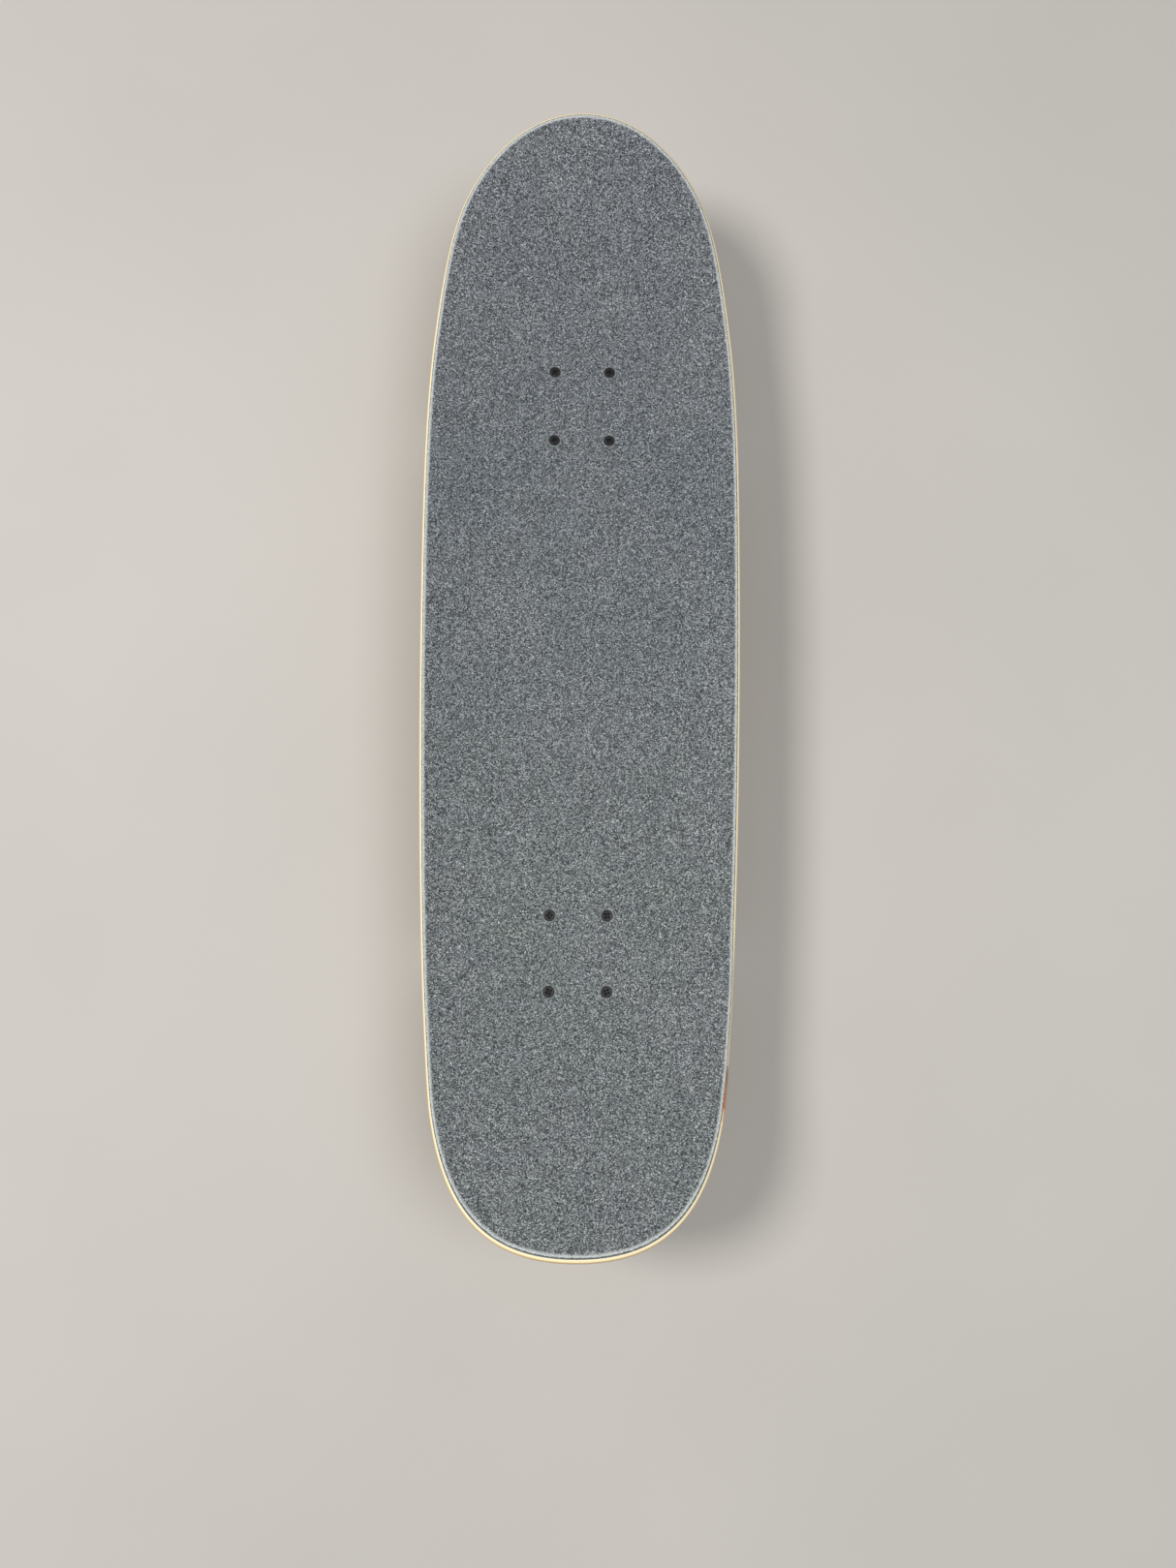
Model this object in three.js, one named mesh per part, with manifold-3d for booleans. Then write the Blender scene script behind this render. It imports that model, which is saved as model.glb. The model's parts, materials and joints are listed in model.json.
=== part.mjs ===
// A skateboard, in millimetres. +Y points to the nose, +X to the right and +Z up.
// The origin is on the floor, under the middle of the deck's length and width.
import * as THREE from "three";
import { mergeVertices } from "three/addons/utils/BufferGeometryUtils.js";
import Module from "manifold-3d";

const wasm = await Module();
wasm.setup();

const degrees = THREE.MathUtils.degToRad;
const GAP = 0.3; // left between pieces that touch
const PAST = 1; // how far a cut runs past the face that it opens
const RING_SIDES = 18; // facets of a round piece as big as a bushing
const BOLT_SIDES = 12;

// Bolt patterns: two rectangles of four holes. Their inner holes are a wheelbase apart.
const WHEELBASE = 355.6;
const PATTERN_LENGTH = 53.98;
const PATTERN_WIDTH = 41.28;
const PATTERN_CENTRE = (WHEELBASE + PATTERN_LENGTH) / 2;

// Deck outline seen from above, as half-widths. Y is counted from the middle of the wheelbase.
const WIDEST = { half: 117.5, y: 98 };
const NOSE = { tip: 408.6, tipPull: 42.4, shoulder: [89.2, 349.7], turn: 62.6, pulls: [34.3, 56.8, 98] };
const TAIL = { tip: -404.6, tipPull: 59.7, shoulder: [101.7, -315.4], turn: 78.2, pulls: [62.2, 49, 160] };

// Deck surface: flat between the trucks, raised rails, and a nose and tail that kick up.
const DECK_THICKNESS = 11;
const TOP_ROUND = 3;
const BOTTOM_ROUND = 4;
const RAIL_RISE = 10;
const TIP_RAIL_RISE = 2.5;
const FLAT_FRACTION = 0.28;
const BEND_START = 250;
const BEND_RADIUS = 180;
const NOSE_ANGLE = degrees(21);
const TAIL_ANGLE = degrees(20);
const RAIL_FADE = [235, 400];

// Grip tape
const GRIP_THICKNESS = 0.8;
const GRIP_INSET = 1.8;

// Wheels, bearings and axle
const WHEEL_RADIUS = 28;
const WHEEL_WIDTH = 33;
const WHEEL_SIDES = 28;
const BEARING = { bore: 8, outer: 22, width: 7 };
const SPACER_LENGTH = 10;
const SPEED_WASHER = 1;
const CORE_RADIUS = 8.3; // of the wheel's hole between its bearings
const BEARING_RECESS = 1;
const LIP_RADIUS = 21;
const SHOULDER = { radius: 25.6, drop: 1.4 }; // drops are counted from the wheel's face
const TREAD_EDGE = { inset: 0.5, drop: 4.4 };
const TREAD_DROP = 7;
const AXLE_RADIUS = 3.97;
const AXLE_LENGTH = 232;
const HANGER_LENGTH = 165;
const AXLE_NUT = { flats: 12.7, height: 6 };
const SPACER_RADIUS = 6.5;
const BEARING_SPAN = 2 * BEARING.width + SPACER_LENGTH;
const WHEEL_X = HANGER_LENGTH / 2 + SPEED_WASHER + BEARING_SPAN / 2;

// Truck, in its own frame: Y away from the board's middle, from the centre of its bolt pattern.
const TRUCK_HEIGHT = 53;
const AXLE_Y = 6;
const AXLE_Z = WHEEL_RADIUS;
const DECK_BOTTOM = AXLE_Z + TRUCK_HEIGHT;
const GRIP_TOP = DECK_BOTTOM + DECK_THICKNESS + GAP + GRIP_THICKNESS;
const KINGPIN_LEAN = degrees(27);
const STEER_RISE = degrees(28);
const RING_CENTRE = new THREE.Vector3(0, -19, DECK_BOTTOM - 33);
const PIVOT_REACH = 44;
const RING = { outer: 15, hole: 8, half: 5 };
const BUSHING_RADIUS = 11.5;
const BOARD_BUSHING = 13.3;
const ROAD_BUSHING = 10;
const ROAD_BUSHING_TIP = 9.4;
const CUP_WASHER = 1.4;
const WASHER_RADIUS = BUSHING_RADIUS + 0.4;
const KINGPIN = { radius: 4.76, head: 6, flats: 14.3, nut: 8, end: 2 };
const KINGPIN_HOLE = KINGPIN.radius + 0.4;
const NOSE_RADIUS = 5.5;
const CUP_WALL = 1.7;
const CUP_DEPTH = 5;
const CUP_ROOM = 5; // free of the baseplate in front of the pivot cup
const BOSS = { radius: BUSHING_RADIUS + 1.3, length: 16, room: 2 }; // the kingpin's seat
const HEAD_DEPTH = 4.7; // from the seat to the kingpin's head
const HEAD_ROOM = 1.6;
const THROUGH = 30; // longer than any hole along the kingpin
const PIVOT_BOSS = { wall: 3.3, length: 15 };
const BARREL = [[7.6, 82.5], [8.8, 75.5], [9.4, 42], [11, 14]]; // radii and distances from the middle
const WING = { half: 50, rootHalf: 9.5, lip: 7.5, top: 55, thickness: 9, setback: 2 };
const YOKE = { near: 14, far: 30, length: 24, thickness: 9 };
const WEB_THICKNESS = 19;
const WEB_CORNERS = [
  [-8, 37],
  [-3, 29],
  [AXLE_Y, 22],
  [15.5, 30],
  [16, 45],
  [14.5, 57.5],
  [10, 67],
  [7.5, 67],
  [5, 56],
  [-3.5, 46],
];
const NOSE_ROOT = { radius: 6.5, length: 14, taper: 8 };

const PLATE = { width: 55, length: 84, thickness: 6, corner: 9 };
const PLATE_TOP = DECK_BOTTOM - GAP;
const PLATE_BOTTOM = PLATE_TOP - PLATE.thickness;

// Mounting bolts and their locknuts
const BOLT = { radius: 2.4, head: 4.15, headHeight: 2.4, length: 25.4, sunk: 0.2 };
const BOLT_CLEARANCE = 0.35;
const LOCKNUT = { flats: 9.5, height: 5 };
const CROSS = { length: 5, width: 1, depth: 1.6 };

// Directions along the kingpin (up), in the plane of the hanger's ring, and along the steering axis.
const kingpinUp = new THREE.Vector3(0, Math.sin(KINGPIN_LEAN), Math.cos(KINGPIN_LEAN));
const ringPlane = new THREE.Vector3(0, Math.cos(KINGPIN_LEAN), -Math.sin(KINGPIN_LEAN));
const steerUp = new THREE.Vector3(0, Math.cos(STEER_RISE), Math.sin(STEER_RISE));
const alongKingpin = (distance) => RING_CENTRE.clone().addScaledVector(kingpinUp, distance);
const PIVOT_BALL = RING_CENTRE.clone().addScaledVector(steerUp, PIVOT_REACH);
const alongPivot = (distance) => PIVOT_BALL.clone().addScaledVector(steerUp, distance);

// Places along the kingpin, counted from the middle of the ring.
const BOARD_BUSHING_LOW = RING.half + GAP;
const BOARD_WASHER_LOW = BOARD_BUSHING_LOW + BOARD_BUSHING + GAP;
const SEAT = BOARD_WASHER_LOW + CUP_WASHER + GAP;
const HEAD_LOW = SEAT + HEAD_DEPTH;
const ROAD_BUSHING_LOW = -RING.half - GAP - ROAD_BUSHING;
const ROAD_WASHER_LOW = ROAD_BUSHING_LOW - GAP - CUP_WASHER;
const KINGPIN_NUT_LOW = ROAD_WASHER_LOW - GAP - KINGPIN.nut;
const KINGPIN_LOW = KINGPIN_NUT_LOW - KINGPIN.end;

// Finishes
const finish = (color, roughness, metalness) =>
  new THREE.MeshStandardMaterial({ color, roughness, metalness });
const maple = finish(0xe6d6a8, 0.6, 0);
const abrasive = finish(0x737779, 0.95, 0);
const blackSteel = finish(0x161616, 0.4, 0.6);
const brightSteel = finish(0xb9bbbd, 0.3, 1);
const castAluminium = finish(0xa9abac, 0.45, 1);
const urethane = finish(0xe9e5da, 0.5, 0);
const bushingRubber = finish(0x1d1d1e, 0.6, 0);

// ---- Solids -------------------------------------------------------------------------------

// A geometry with shared vertices, as a solid that can be joined and cut.
function solidOf(geometry) {
  const bare = geometry.clone();
  bare.deleteAttribute("normal");
  bare.deleteAttribute("uv");
  const merged = mergeVertices(bare, 1e-4);
  const corners = merged.index.array;
  const kept = [];
  for (let i = 0; i < corners.length; i += 3) {
    const [a, b, c] = [corners[i], corners[i + 1], corners[i + 2]];
    if (a !== b && b !== c && c !== a) kept.push(a, b, c);
  }
  return new wasm.Manifold(
    new wasm.Mesh({
      numProp: 3,
      vertProperties: new Float32Array(merged.attributes.position.array),
      triVerts: new Uint32Array(kept),
    }),
  );
}

function geometryOf(solid) {
  const mesh = solid.getMesh();
  const geometry = new THREE.BufferGeometry();
  geometry.setAttribute("position", new THREE.BufferAttribute(mesh.vertProperties, 3));
  geometry.setIndex(new THREE.BufferAttribute(mesh.triVerts, 1));
  geometry.computeVertexNormals();
  return geometry;
}

const joined = (first, ...others) =>
  geometryOf(others.reduce((whole, part) => whole.add(solidOf(part)), solidOf(first)));
const cut = (body, ...tools) =>
  geometryOf(tools.reduce((left, tool) => left.subtract(solidOf(tool)), solidOf(body)));
const common = (first, second) => geometryOf(solidOf(first).intersect(solidOf(second)));

// A turned shape: the profile's [radius, height] pairs, upwards on the outside, about the line
// that starts at the given point and runs along the given direction.
function turned(profile, sides, start, direction, phase = 0) {
  const points = profile.map(([radius, height]) => new THREE.Vector2(radius, height));
  const geometry = new THREE.LatheGeometry(points, sides, phase);
  const turn = new THREE.Quaternion().setFromUnitVectors(new THREE.Vector3(0, 1, 0), direction);
  return geometry.applyQuaternion(turn).translate(start.x, start.y, start.z);
}

const rod = (radius, low, high) => [
  [0, low],
  [radius, low],
  [radius, high],
  [0, high],
];
const tube = (inner, outer, low, high) => [
  [inner, low],
  [outer, low],
  [outer, high],
  [inner, high],
  [inner, low],
];

// A straight prism of a hexagonal nut or bolt head with its foot at the given point.
function hexPrism(flats, height, hole, start, direction) {
  const radius = flats / 2 / Math.cos(Math.PI / 6);
  const hexagon = new THREE.Shape();
  for (let i = 0; i < 6; i += 1) {
    const angle = (i * Math.PI) / 3;
    const corner = [radius * Math.cos(angle), radius * Math.sin(angle)];
    if (i === 0) hexagon.moveTo(...corner);
    else hexagon.lineTo(...corner);
  }
  hexagon.closePath();
  if (hole > 0) {
    const opening = new THREE.Path();
    opening.absarc(0, 0, hole, 0, 2 * Math.PI, true);
    hexagon.holes.push(opening);
  }
  const options = { depth: height, bevelEnabled: false, curveSegments: 8 };
  const geometry = new THREE.ExtrudeGeometry(hexagon, options);
  const turn = new THREE.Quaternion().setFromUnitVectors(new THREE.Vector3(0, 0, 1), direction);
  return geometry.applyQuaternion(turn).translate(start.x, start.y, start.z);
}

// A plate: a polygon of [across, along] corners, given a thickness about its own plane.
function plate(corners, thickness, across, along, centre) {
  const outline = new THREE.Shape(corners.map(([a, b]) => new THREE.Vector2(a, b)));
  const geometry = new THREE.ExtrudeGeometry(outline, { depth: thickness, bevelEnabled: false });
  geometry.translate(0, 0, -thickness / 2);
  const normal = new THREE.Vector3().crossVectors(across, along);
  const basis = new THREE.Matrix4().makeBasis(across, along, normal);
  return geometry.applyMatrix4(basis.setPosition(centre));
}

const X = new THREE.Vector3(1, 0, 0);
const Y = new THREE.Vector3(0, 1, 0);
const Z = new THREE.Vector3(0, 0, 1);

// ---- Deck and grip tape -------------------------------------------------------------------

// One end's outline: a curve from the tip to the shoulder and one from there to the widest place.
function endCurves(end) {
  const outwards = Math.sign(end.tip);
  const slope = new THREE.Vector2(Math.cos(degrees(end.turn)), -outwards * Math.sin(degrees(end.turn)));
  const tip = new THREE.Vector2(0, end.tip);
  const shoulder = new THREE.Vector2(...end.shoulder);
  const widest = new THREE.Vector2(WIDEST.half, WIDEST.y);
  const [before, after, last] = end.pulls;
  return [
    new THREE.CubicBezierCurve(
      tip,
      new THREE.Vector2(end.tipPull, end.tip),
      shoulder.clone().addScaledVector(slope, -before),
      shoulder,
    ),
    new THREE.CubicBezierCurve(
      shoulder,
      shoulder.clone().addScaledVector(slope, after),
      new THREE.Vector2(WIDEST.half, WIDEST.y + outwards * last),
      widest,
    ),
  ];
}

const [noseTipCurve, noseSideCurve] = endCurves(NOSE);
const [tailTipCurve, tailSideCurve] = endCurves(TAIL);

// The place on an outline curve and the direction that points away from the deck there.
function outlineSpot(curve, t) {
  const point = curve.getPoint(t);
  const tangent = curve.getTangent(t);
  const outwards = new THREE.Vector2(-tangent.y, tangent.x);
  if (outwards.dot(point) < 0) outwards.negate();
  return { point, outwards };
}

// The outline at a station along the side, found by halving.
function sideSpot(y) {
  const curve = y > WIDEST.y ? noseSideCurve : tailSideCurve;
  let [low, high] = [0, 1];
  for (let i = 0; i < 40; i += 1) {
    const middle = (low + high) / 2;
    if (Math.abs(curve.getPoint(middle).y - WIDEST.y) > Math.abs(y - WIDEST.y)) low = middle;
    else high = middle;
  }
  return outlineSpot(curve, (low + high) / 2);
}

// Stations from the tail to the nose on the right side, then back on the left side.
const bendRun = (angle) => BEND_RADIUS * Math.sin(angle);
const NOSE_BEND_END = BEND_START + bendRun(NOSE_ANGLE);
const TAIL_BEND_END = -BEND_START - bendRun(TAIL_ANGLE);
function outlineSpots() {
  const spaced = (from, to, steps) =>
    Array.from({ length: steps }, (_, i) => from + ((to - from) * i) / steps);
  const right = [
    ...spaced(0, 1, 10).map((t) => outlineSpot(tailTipCurve, t)),
    ...spaced(TAIL.shoulder[1], TAIL_BEND_END, 1).map(sideSpot),
    ...spaced(TAIL_BEND_END, -BEND_START, 3).map(sideSpot),
    ...spaced(-BEND_START, BEND_START, 8).map(sideSpot),
    ...spaced(BEND_START, NOSE_BEND_END, 3).map(sideSpot),
    ...spaced(NOSE_BEND_END, NOSE.shoulder[1], 2).map(sideSpot),
    ...spaced(1, 0, 8).map((t) => outlineSpot(noseTipCurve, t)),
    outlineSpot(noseTipCurve, 0),
  ];
  const left = right.slice(1, -1).reverse();
  const mirrored = left.map(({ point, outwards }) => ({
    point: new THREE.Vector2(-point.x, point.y),
    outwards: new THREE.Vector2(-outwards.x, outwards.y),
  }));
  return [...right, ...mirrored];
}

// Height and slope of the deck's middle line, and the height of the rails over it.
function kick(y) {
  const angle = y > 0 ? NOSE_ANGLE : TAIL_ANGLE;
  const run = Math.abs(y) - BEND_START;
  if (run <= 0) return { rise: 0, slope: 0 };
  const slope = Math.sign(y) * Math.min(Math.asin(Math.min(run / BEND_RADIUS, 1)), angle);
  const bent = Math.min(run, bendRun(angle));
  const straight = run - bent;
  const rise = BEND_RADIUS - Math.sqrt(BEND_RADIUS ** 2 - bent ** 2) + straight * Math.tan(angle);
  return { rise, slope };
}
const railRise = (y) =>
  THREE.MathUtils.lerp(RAIL_RISE, TIP_RAIL_RISE, THREE.MathUtils.smoothstep(Math.abs(y), ...RAIL_FADE));

// A point of the deck: a fraction of the way from the middle line to an inset outline, and a depth
// under the deck's top face, measured square to the kick.
function deckPoint(spot, { reach, inset, depth }) {
  const foot = new THREE.Vector2(0, THREE.MathUtils.clamp(spot.point.y, TAIL_BEND_END, NOSE_BEND_END));
  const edge = spot.point.clone().addScaledVector(spot.outwards, -inset);
  const place = foot.clone().lerp(edge, reach);
  const fraction = place.distanceTo(foot) / spot.point.distanceTo(foot);
  const climb = Math.max(0, (fraction - FLAT_FRACTION) / (1 - FLAT_FRACTION)) ** 2;
  const { rise, slope } = kick(place.y);
  const top = DECK_BOTTOM + DECK_THICKNESS + rise + railRise(place.y) * climb;
  return [place.x, place.y + Math.sin(slope) * depth, top - Math.cos(slope) * depth];
}

// A closed skin over rings of deck points, from the middle line on top to the one underneath.
function deckSkin(rings) {
  const spots = outlineSpots();
  const points = rings.flatMap((ring) => spots.map((spot) => deckPoint(spot, ring)));
  const count = spots.length;
  const triangles = [];
  for (let ring = 0; ring + 1 < rings.length; ring += 1) {
    for (let i = 0; i < count; i += 1) {
      const next = (i + 1) % count;
      const [a, b] = [ring * count + i, ring * count + next];
      const [c, d] = [a + count, b + count];
      triangles.push(a, c, d, a, d, b);
    }
  }
  // The first and last rings lie on the middle line, where their left and right points meet.
  const geometry = new THREE.BufferGeometry();
  geometry.setAttribute("position", new THREE.Float32BufferAttribute(points.flat(), 3));
  geometry.setIndex(triangles);
  return geometry;
}

const FACE_REACHES = [0, FLAT_FRACTION, 0.46, 0.64, 0.82];
const roundSteps = (steps) => Array.from({ length: steps + 1 }, (_, i) => ((Math.PI / 2) * i) / steps);

function deckRings() {
  const top = FACE_REACHES.map((reach) => ({ reach, inset: TOP_ROUND, depth: 0 }));
  const upper = roundSteps(2).map((a) => ({
    reach: 1,
    inset: TOP_ROUND * (1 - Math.sin(a)),
    depth: TOP_ROUND * (1 - Math.cos(a)),
  }));
  const lower = roundSteps(2).reverse().map((a) => ({
    reach: 1,
    inset: BOTTOM_ROUND * (1 - Math.sin(a)),
    depth: DECK_THICKNESS - BOTTOM_ROUND * (1 - Math.cos(a)),
  }));
  const bottom = FACE_REACHES.map((reach) => ({
    reach,
    inset: BOTTOM_ROUND,
    depth: DECK_THICKNESS,
  })).reverse();
  return [...top, ...upper, ...lower, ...bottom];
}

function gripRings() {
  const face = (depth) => [...FACE_REACHES, 1].map((reach) => ({ reach, inset: GRIP_INSET, depth }));
  return [...face(-GAP - GRIP_THICKNESS), ...face(-GAP).reverse()];
}

const boltPlaces = [-1, 1].flatMap((end) =>
  [-1, 1].flatMap((along) =>
    [-1, 1].map((across) => ({
      x: (across * PATTERN_WIDTH) / 2,
      y: end * PATTERN_CENTRE + (along * PATTERN_LENGTH) / 2,
    })),
  ),
);

// A flat-headed bolt's outline, grown by a clearance; the head's top is given.
function boltProfile(grow, top) {
  const headTop = GRIP_TOP - BOLT.sunk;
  return [
    [0, headTop - BOLT.length - grow],
    [BOLT.radius + grow, headTop - BOLT.length - grow],
    [BOLT.radius + grow, headTop - BOLT.headHeight],
    [BOLT.head + grow, headTop],
    [BOLT.head + grow, top],
    [0, top],
  ];
}
const boltHole = ({ x, y }) =>
  turned(boltProfile(BOLT_CLEARANCE, GRIP_TOP + PAST), BOLT_SIDES, new THREE.Vector3(x, y, 0), Z);

const deckShape = () => cut(deckSkin(deckRings()), ...boltPlaces.map(boltHole));
const gripShape = () => cut(deckSkin(gripRings()), ...boltPlaces.map(boltHole));

// ---- Mounting bolts -----------------------------------------------------------------------

function boltShape({ x, y }, turn) {
  const headTop = GRIP_TOP - BOLT.sunk;
  const outline = boltProfile(0, headTop).slice(0, -2);
  const body = turned([...outline, [0, headTop]], BOLT_SIDES, new THREE.Vector3(x, y, 0), Z);
  const slot = (angle) =>
    new THREE.BoxGeometry(CROSS.length, CROSS.width, 2 * CROSS.depth)
      .rotateZ(turn + angle)
      .translate(x, y, headTop);
  return cut(body, slot(0), slot(Math.PI / 2));
}

function locknutShape({ x, y }) {
  const foot = new THREE.Vector3(x, y, PLATE_BOTTOM - GAP - LOCKNUT.height);
  return hexPrism(LOCKNUT.flats, LOCKNUT.height, BOLT.radius + GAP, foot, Z);
}

// ---- Truck pieces, in the truck's own frame -----------------------------------------------

function baseplateShape() {
  const [w, l, r] = [PLATE.width / 2, PLATE.length / 2, PLATE.corner];
  const outline = new THREE.Shape();
  outline.moveTo(w, -l + r);
  outline.lineTo(w, l - r);
  outline.absarc(w - r, l - r, r, 0, Math.PI / 2);
  outline.lineTo(-w + r, l);
  outline.absarc(-w + r, l - r, r, Math.PI / 2, Math.PI);
  outline.lineTo(-w, -l + r);
  outline.absarc(-w + r, -l + r, r, Math.PI, 1.5 * Math.PI);
  outline.lineTo(w - r, -l);
  outline.absarc(w - r, -l + r, r, 1.5 * Math.PI, 2 * Math.PI);
  const flange = new THREE.ExtrudeGeometry(outline, {
    depth: PLATE.thickness,
    bevelEnabled: false,
    curveSegments: 4,
  }).translate(0, 0, PLATE_BOTTOM);
  const cupOuter = NOSE_RADIUS + GAP + CUP_WALL;
  const kingpinBoss = turned(rod(BOSS.radius, 0, BOSS.length), RING_SIDES, alongKingpin(SEAT), kingpinUp);
  const pivotRod = rod(cupOuter + PIVOT_BOSS.wall, 0, PIVOT_BOSS.length);
  const pivotBoss = turned(pivotRod, RING_SIDES, alongPivot(-CUP_DEPTH), steerUp);
  const underDeck = new THREE.BoxGeometry(2 * PLATE.length, 2 * PLATE.length, 2 * TRUCK_HEIGHT);
  underDeck.translate(0, 0, PLATE_TOP - TRUCK_HEIGHT);
  const body = common(joined(flange, kingpinBoss, pivotBoss), underDeck);
  const holes = [-1, 1].flatMap((along) =>
    [-1, 1].map((across) => {
      const place = [(across * PATTERN_WIDTH) / 2, (along * PATTERN_LENGTH) / 2, PLATE_BOTTOM];
      const hole = rod(BOLT.radius + BOLT_CLEARANCE, -PAST, PLATE.thickness + PAST);
      return turned(hole, BOLT_SIDES, new THREE.Vector3(...place), Z);
    }),
  );
  const kingpinRoom = rod(KINGPIN_HOLE, -PAST, THROUGH);
  const kingpinHole = turned(kingpinRoom, BOLT_SIDES, alongKingpin(SEAT), kingpinUp);
  const pocket = rod(KINGPIN.flats / 2 + HEAD_ROOM, 0, THROUGH);
  const headPocket = turned(pocket, RING_SIDES, alongKingpin(HEAD_LOW - GAP), kingpinUp);
  const cupRoom = rod(cupOuter + GAP, -CUP_DEPTH - CUP_ROOM, cupOuter + GAP);
  const cupPocket = turned(cupRoom, RING_SIDES, PIVOT_BALL, steerUp);
  return cut(body, ...holes, kingpinHole, headPocket, cupPocket);
}

// Points of a quarter circle about the axis, from its side to its end.
const quarter = (radius, steps) =>
  roundSteps(steps).map((a) => [radius * Math.cos(a), radius * Math.sin(a)]);

function pivotCupShape() {
  const outer = NOSE_RADIUS + GAP + CUP_WALL;
  const cavity = quarter(NOSE_RADIUS + GAP, 3).reverse();
  const mouth = [NOSE_RADIUS + GAP, -CUP_DEPTH];
  const profile = [...cavity, mouth, [outer, -CUP_DEPTH], [outer, outer], [0, outer]];
  return turned(profile, RING_SIDES, PIVOT_BALL, steerUp);
}

function kingpinShape() {
  const shank = turned(rod(KINGPIN.radius, KINGPIN_LOW, HEAD_LOW + 1), BOLT_SIDES, RING_CENTRE, kingpinUp);
  const head = hexPrism(KINGPIN.flats, KINGPIN.head, 0, alongKingpin(HEAD_LOW), kingpinUp);
  return joined(shank, head);
}

const kingpinNutShape = () =>
  hexPrism(KINGPIN.flats, KINGPIN.nut, KINGPIN_HOLE, alongKingpin(KINGPIN_NUT_LOW), kingpinUp);

function washerShape(low) {
  const profile = tube(KINGPIN_HOLE, WASHER_RADIUS, 0, CUP_WASHER);
  return turned(profile, RING_SIDES, alongKingpin(low), kingpinUp);
}

function bushingShape(low, height, lowRadius, highRadius) {
  const profile = [
    [KINGPIN_HOLE, 0],
    [lowRadius, 0],
    [highRadius, height],
    [KINGPIN_HOLE, height],
    [KINGPIN_HOLE, 0],
  ];
  return turned(profile, RING_SIDES, alongKingpin(low), kingpinUp);
}

function hangerShape() {
  const axle = new THREE.Vector3(0, AXLE_Y, AXLE_Z);
  const half = HANGER_LENGTH / 2;
  const mirrored = BARREL.map(([radius, x]) => [radius, -x]);
  const profile = [[0, -half], ...mirrored, ...BARREL.toReversed(), [0, half]];
  const barrel = turned(profile, RING_SIDES, axle, X);
  const web = plate(WEB_CORNERS, WEB_THICKNESS, Y, Z, new THREE.Vector3());
  const wings = plate(
    [
      [-WING.half, AXLE_Z],
      [WING.half, AXLE_Z],
      [WING.half, AXLE_Z + WING.lip],
      [WING.rootHalf, WING.top],
      [-WING.rootHalf, WING.top],
      [-WING.half, AXLE_Z + WING.lip],
    ],
    WING.thickness,
    X,
    Z,
    new THREE.Vector3(0, AXLE_Y + WING.setback, 0),
  );
  const yoke = plate(
    [
      [-YOKE.near, 0],
      [YOKE.near, 0],
      [YOKE.far, YOKE.length],
      [-YOKE.far, YOKE.length],
    ],
    YOKE.thickness,
    X,
    ringPlane,
    RING_CENTRE,
  );
  const ring = turned(rod(RING.outer, -RING.half, RING.half), RING_SIDES, RING_CENTRE, kingpinUp);
  const noseRoot = [[0, -NOSE_ROOT.length], [NOSE_ROOT.radius, -NOSE_ROOT.length]];
  const noseProfile = [...noseRoot, [NOSE_RADIUS, -NOSE_ROOT.taper], ...quarter(NOSE_RADIUS, 3)];
  const nose = turned(noseProfile, RING_SIDES, PIVOT_BALL, steerUp);
  const bore = turned(rod(BEARING.bore / 2 + GAP, -half - PAST, half + PAST), BOLT_SIDES, axle, X);
  const kingpinRoom = turned(rod(RING.hole, -THROUGH, THROUGH), RING_SIDES, RING_CENTRE, kingpinUp);
  const bushingRoom = rod(BOSS.radius + BOSS.room, 0, THROUGH);
  const aboveRing = turned(bushingRoom, RING_SIDES, alongKingpin(RING.half), kingpinUp);
  const underRing = turned(bushingRoom, RING_SIDES, alongKingpin(-RING.half), kingpinUp.clone().negate());
  const body = joined(barrel, web, wings, yoke, ring, nose);
  return cut(body, bore, kingpinRoom, aboveRing, underRing);
}

function axleShape() {
  const profile = rod(AXLE_RADIUS, -AXLE_LENGTH / 2, AXLE_LENGTH / 2);
  return turned(profile, BOLT_SIDES, new THREE.Vector3(0, AXLE_Y, AXLE_Z), X);
}

// ---- Wheel pieces, about the axle, with x counted from the wheel's middle ------------------

// The section of a wheel. The tread's flat sides touch the floor, so its corners lie a little
// outside its radius.
function wheelSection() {
  const corner = 1 / Math.cos(Math.PI / WHEEL_SIDES);
  const face = WHEEL_WIDTH / 2;
  const seat = BEARING.outer / 2 + GAP;
  const halfSide = [
    [CORE_RADIUS, SPACER_LENGTH / 2],
    [seat, SPACER_LENGTH / 2],
    [seat, BEARING_SPAN / 2 + BEARING_RECESS],
    [LIP_RADIUS, face],
    [SHOULDER.radius * corner, face - SHOULDER.drop],
    [(WHEEL_RADIUS - TREAD_EDGE.inset) * corner, face - TREAD_EDGE.drop],
    [WHEEL_RADIUS * corner, face - TREAD_DROP],
  ];
  const profile = [...halfSide.map(([r, x]) => [r, -x]), ...halfSide.toReversed()];
  profile.push(profile[0]);
  return profile;
}

const bearingProfile = tube(BEARING.bore / 2 + GAP, BEARING.outer / 2, 0, BEARING.width);
const spacerProfile = tube(BEARING.bore / 2 + GAP, SPACER_RADIUS, GAP, SPACER_LENGTH - GAP);

// ---- Assembly -----------------------------------------------------------------------------

const skateboard = new THREE.Group();
const board = new THREE.Group(); // its Y starts at the middle of the wheelbase
skateboard.add(board);

function addPiece(group, name, geometry, material) {
  const mesh = new THREE.Mesh(geometry, material);
  mesh.name = name;
  group.add(mesh);
  return mesh;
}

addPiece(board, "deck", deckShape(), maple);
addPiece(board, "grip_tape", gripShape(), abrasive);

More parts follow.
